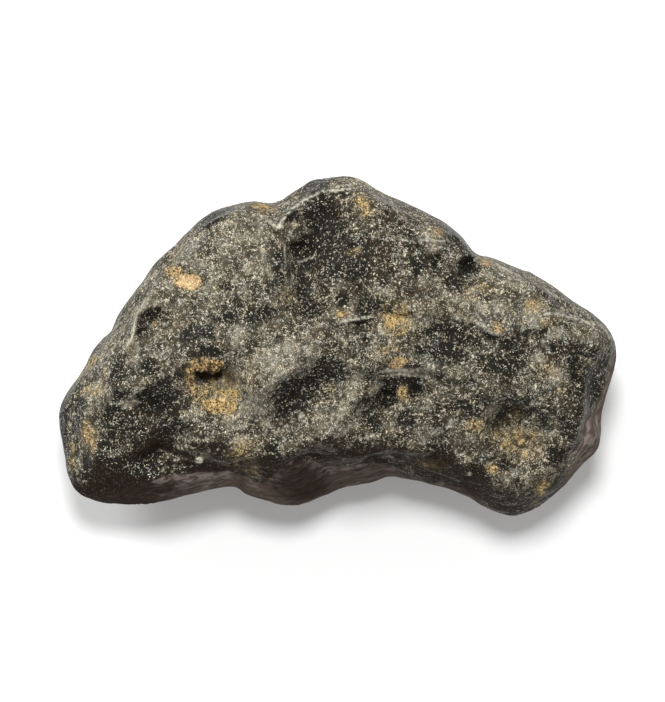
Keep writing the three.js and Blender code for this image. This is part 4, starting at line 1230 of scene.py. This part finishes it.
# %% [markdown]
# ## Shine and fine relief
# Bare rock is polished like worn leather and dust is dull, so the same masks set how rough
# the surface is. The finest relief is only bump: flecks stand up a little, and so do the
# soil's grains and the wall's streaks. The stone mirrors little, so its mirror light is low.

# %% Shine and fine relief
MIRROR_LIGHT = 0.05
RELIEF_STRENGTH = 0.6
RELIEF_DEPTH = 0.12

roughness = soft_step(minus(film, times(bare_and_shade_here, 0.3)), -0.3, 1.0, 0.30, 0.75)
roughness = largest(
    roughness, times(flecks, 0.8), times(cover, 0.95), times(wall_here, 0.9), times(lip_shade_here, 0.9),
)
relief = plus(
    times(flecks, 0.35), times(grains, cover), times(level_streaks, wall_here, 0.7),
    times(waves(2.5, 3.0, seed=10.0), 0.5),
)
bump(relief, RELIEF_STRENGTH, RELIEF_DEPTH)
shader = web.nodes["Principled BSDF"]
shader.inputs["Specular IOR Level"].default_value = MIRROR_LIGHT
plug(shader.inputs["Base Color"], colour)
plug(shader.inputs["Roughness"], roughness)
stone_mesh.materials.append(rock)
print("nodes in the rock:", len(web.nodes))

# %% [markdown]
# ## Crumbs of soil
# A crust of clay crumbs hangs over the pit's upper rim, and loose crumbs lie in the pit, on
# the ledge, in the scar and in a few other hollows. Each row of the table scatters crumbs
# along a bent line.

# %% Crumb places
# name, number of crumbs, smallest and largest width, height over the rock, spread, line
CRUMBS = [
    ("crust", 95, 0.20, 0.50, 0.12, 0.26,
     [(-16.4, -2.9), (-15.7, -2.3), (-14.9, -2.5), (-14.2, -2.1), (-13.4, -1.7), (-12.7, -1.9)]),
    ("crust's lump", 22, 0.28, 0.50, 0.55, 0.22, [(-13.8, -2.7), (-13.2, -2.4)]),
    ("pit's left wall", 60, 0.12, 0.30, 0.02, 0.50, [(-16.4, -3.0), (-16.2, -4.4), (-15.4, -6.0)]),
    ("pit floor", 110, 0.10, 0.26, 0.01, 0.75,
     [(-15.0, -6.4), (-13.4, -7.0), (-11.6, -6.0), (-11.0, -4.6)]),
    ("ledge", 26, 0.12, 0.28, 0.02, 0.35, [(5.6, -2.0), (7.6, -1.9)]),
    ("scar's upper end", 24, 0.12, 0.26, 0.02, 0.35, [(-18.9, 8.5), (-17.6, 8.0)]),
    ("left strip", 26, 0.12, 0.28, 0.02, 0.4, [(-28.0, -8.6), (-27.2, -11.2)]),
    ("gash", 16, 0.12, 0.26, 0.02, 0.3, [(16.6, -13.5), (17.6, -13.7)]),
    ("between the ledge holes", 16, 0.12, 0.24, 0.02, 0.25, [(7.2, -4.3), (7.2, -5.8)]),
]
face_points = points[on_face > 0.2]


def rock_height(x, y):
    """The height of the face under a place."""
    gaps = np.hypot(face_points[:, 0] - x, face_points[:, 1] - y)
    return face_points[np.argmin(gaps), 2]


def point_on(corners, share):
    """The place at a share of the way along a bent line."""
    lengths = [math.dist(a, b) for a, b in zip(corners, corners[1:])]
    run = share * sum(lengths)
    for (ax, ay), (bx, by), length in zip(corners, corners[1:], lengths):
        if run <= length:
            break
        run -= length
    return ax + (bx - ax) * run / length, ay + (by - ay) * run / length


print("crumbs:", sum(row[1] for row in CRUMBS))

# %% [markdown]
# ## One ball, many crumbs
# Every crumb starts as the same ball of few faces. Its three widths, its dents and its turn
# are drawn by chance, always in the same order, so the crumbs come out the same every time.
# Each is pressed about halfway into the rock below it. All are joined into one mesh, because
# one piece of many crumbs is easier to carry than hundreds of pieces.

# %% Make the crumbs
CRUMB_SEED = 5
UNEVENNESS = 0.35

chance = np.random.default_rng(CRUMB_SEED)
ball = bmesh.new()
bmesh.ops.create_icosphere(ball, subdivisions=2, radius=0.5)
ball_points = np.array([vert.co for vert in ball.verts])
ball_faces = np.array([[vert.index for vert in face.verts] for face in ball.faces])
ball.free()
crumb_points, crumb_faces = [], []
for name, number, least, most, lift, spread, line in CRUMBS:
    for _ in range(number):
        x, y = np.array(point_on(line, chance.uniform())) + chance.normal(0, spread / 2, 2)
        width = chance.uniform(least, most)
        width = width * np.array([1, chance.uniform(0.7, 1.0), chance.uniform(0.6, 0.9)])
        dents = np.sin(ball_points @ chance.normal(0, 6, 3) + chance.uniform(0, 6))
        turn = chance.uniform(0, 2 * math.pi)
        cos, sin = math.cos(turn), math.sin(turn)
        spun = ball_points * (1 + UNEVENNESS * dents)[:, None] * width
        spun[:, :2] = spun[:, :2] @ np.array([[cos, -sin], [sin, cos]])
        centre = np.array([x, y, rock_height(x, y) + lift * chance.uniform()])
        crumb_faces.append(ball_faces + len(ball_points) * len(crumb_points))
        crumb_points.append(spun + centre)
places = (np.concatenate(crumb_points) * MM).tolist()
crumb_mesh = bpy.data.meshes.new("crumbs")
crumb_mesh.from_pydata(places, [], np.concatenate(crumb_faces).tolist())
crumb_mesh.polygons.foreach_set("use_smooth", [True] * len(crumb_mesh.polygons))
crumbs = bpy.data.objects.new("soil_crumbs", crumb_mesh)
scene.collection.objects.link(crumbs)
print("crumb triangles:", len(crumb_mesh.polygons))

# %% [markdown]
# ## Soil on its own
# The crumbs get the same clay and sand colours as the soil that is painted on the rock.

# %% Crumb material
CLAY_ROUGHNESS = 0.95
CLAY_MIRROR_LIGHT = 0.2
CLAY_RELIEF_STRENGTH = 0.7
CLAY_RELIEF_DEPTH = 0.08

clay, web, place = new_material("soil_crumbs")
clay_tone = blend(soft_step(waves(0.9, seed=12.0), 0.40, 0.60), GOLDEN_SAND, ORANGE_CLAY)
clay_tone = blend(soft_step(waves(3.0, 1.0, seed=18.0), 0.54, 0.64), clay_tone, LIGHT_GRAIN)
clay_tone = blend(soft_step(waves(3.6, 2.0, seed=13.0), 0.46, 0.58), clay_tone, DARK_SAND)
shader = web.nodes["Principled BSDF"]
shader.inputs["Roughness"].default_value = CLAY_ROUGHNESS
shader.inputs["Specular IOR Level"].default_value = CLAY_MIRROR_LIGHT
plug(shader.inputs["Base Color"], clay_tone)
bump(waves(9.0, 2.0, seed=14.0), CLAY_RELIEF_STRENGTH, CLAY_RELIEF_DEPTH)
crumb_mesh.materials.append(clay)
print("nodes in the clay:", len(web.nodes))

# %% [markdown]
# ## Hand over
# The finished piece takes the place of the construction solid, which stays in the model
# unseen.

# %% Hand the piece to the frame
for piece in (stone, crumbs):
    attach(piece, "root")
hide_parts("stone")
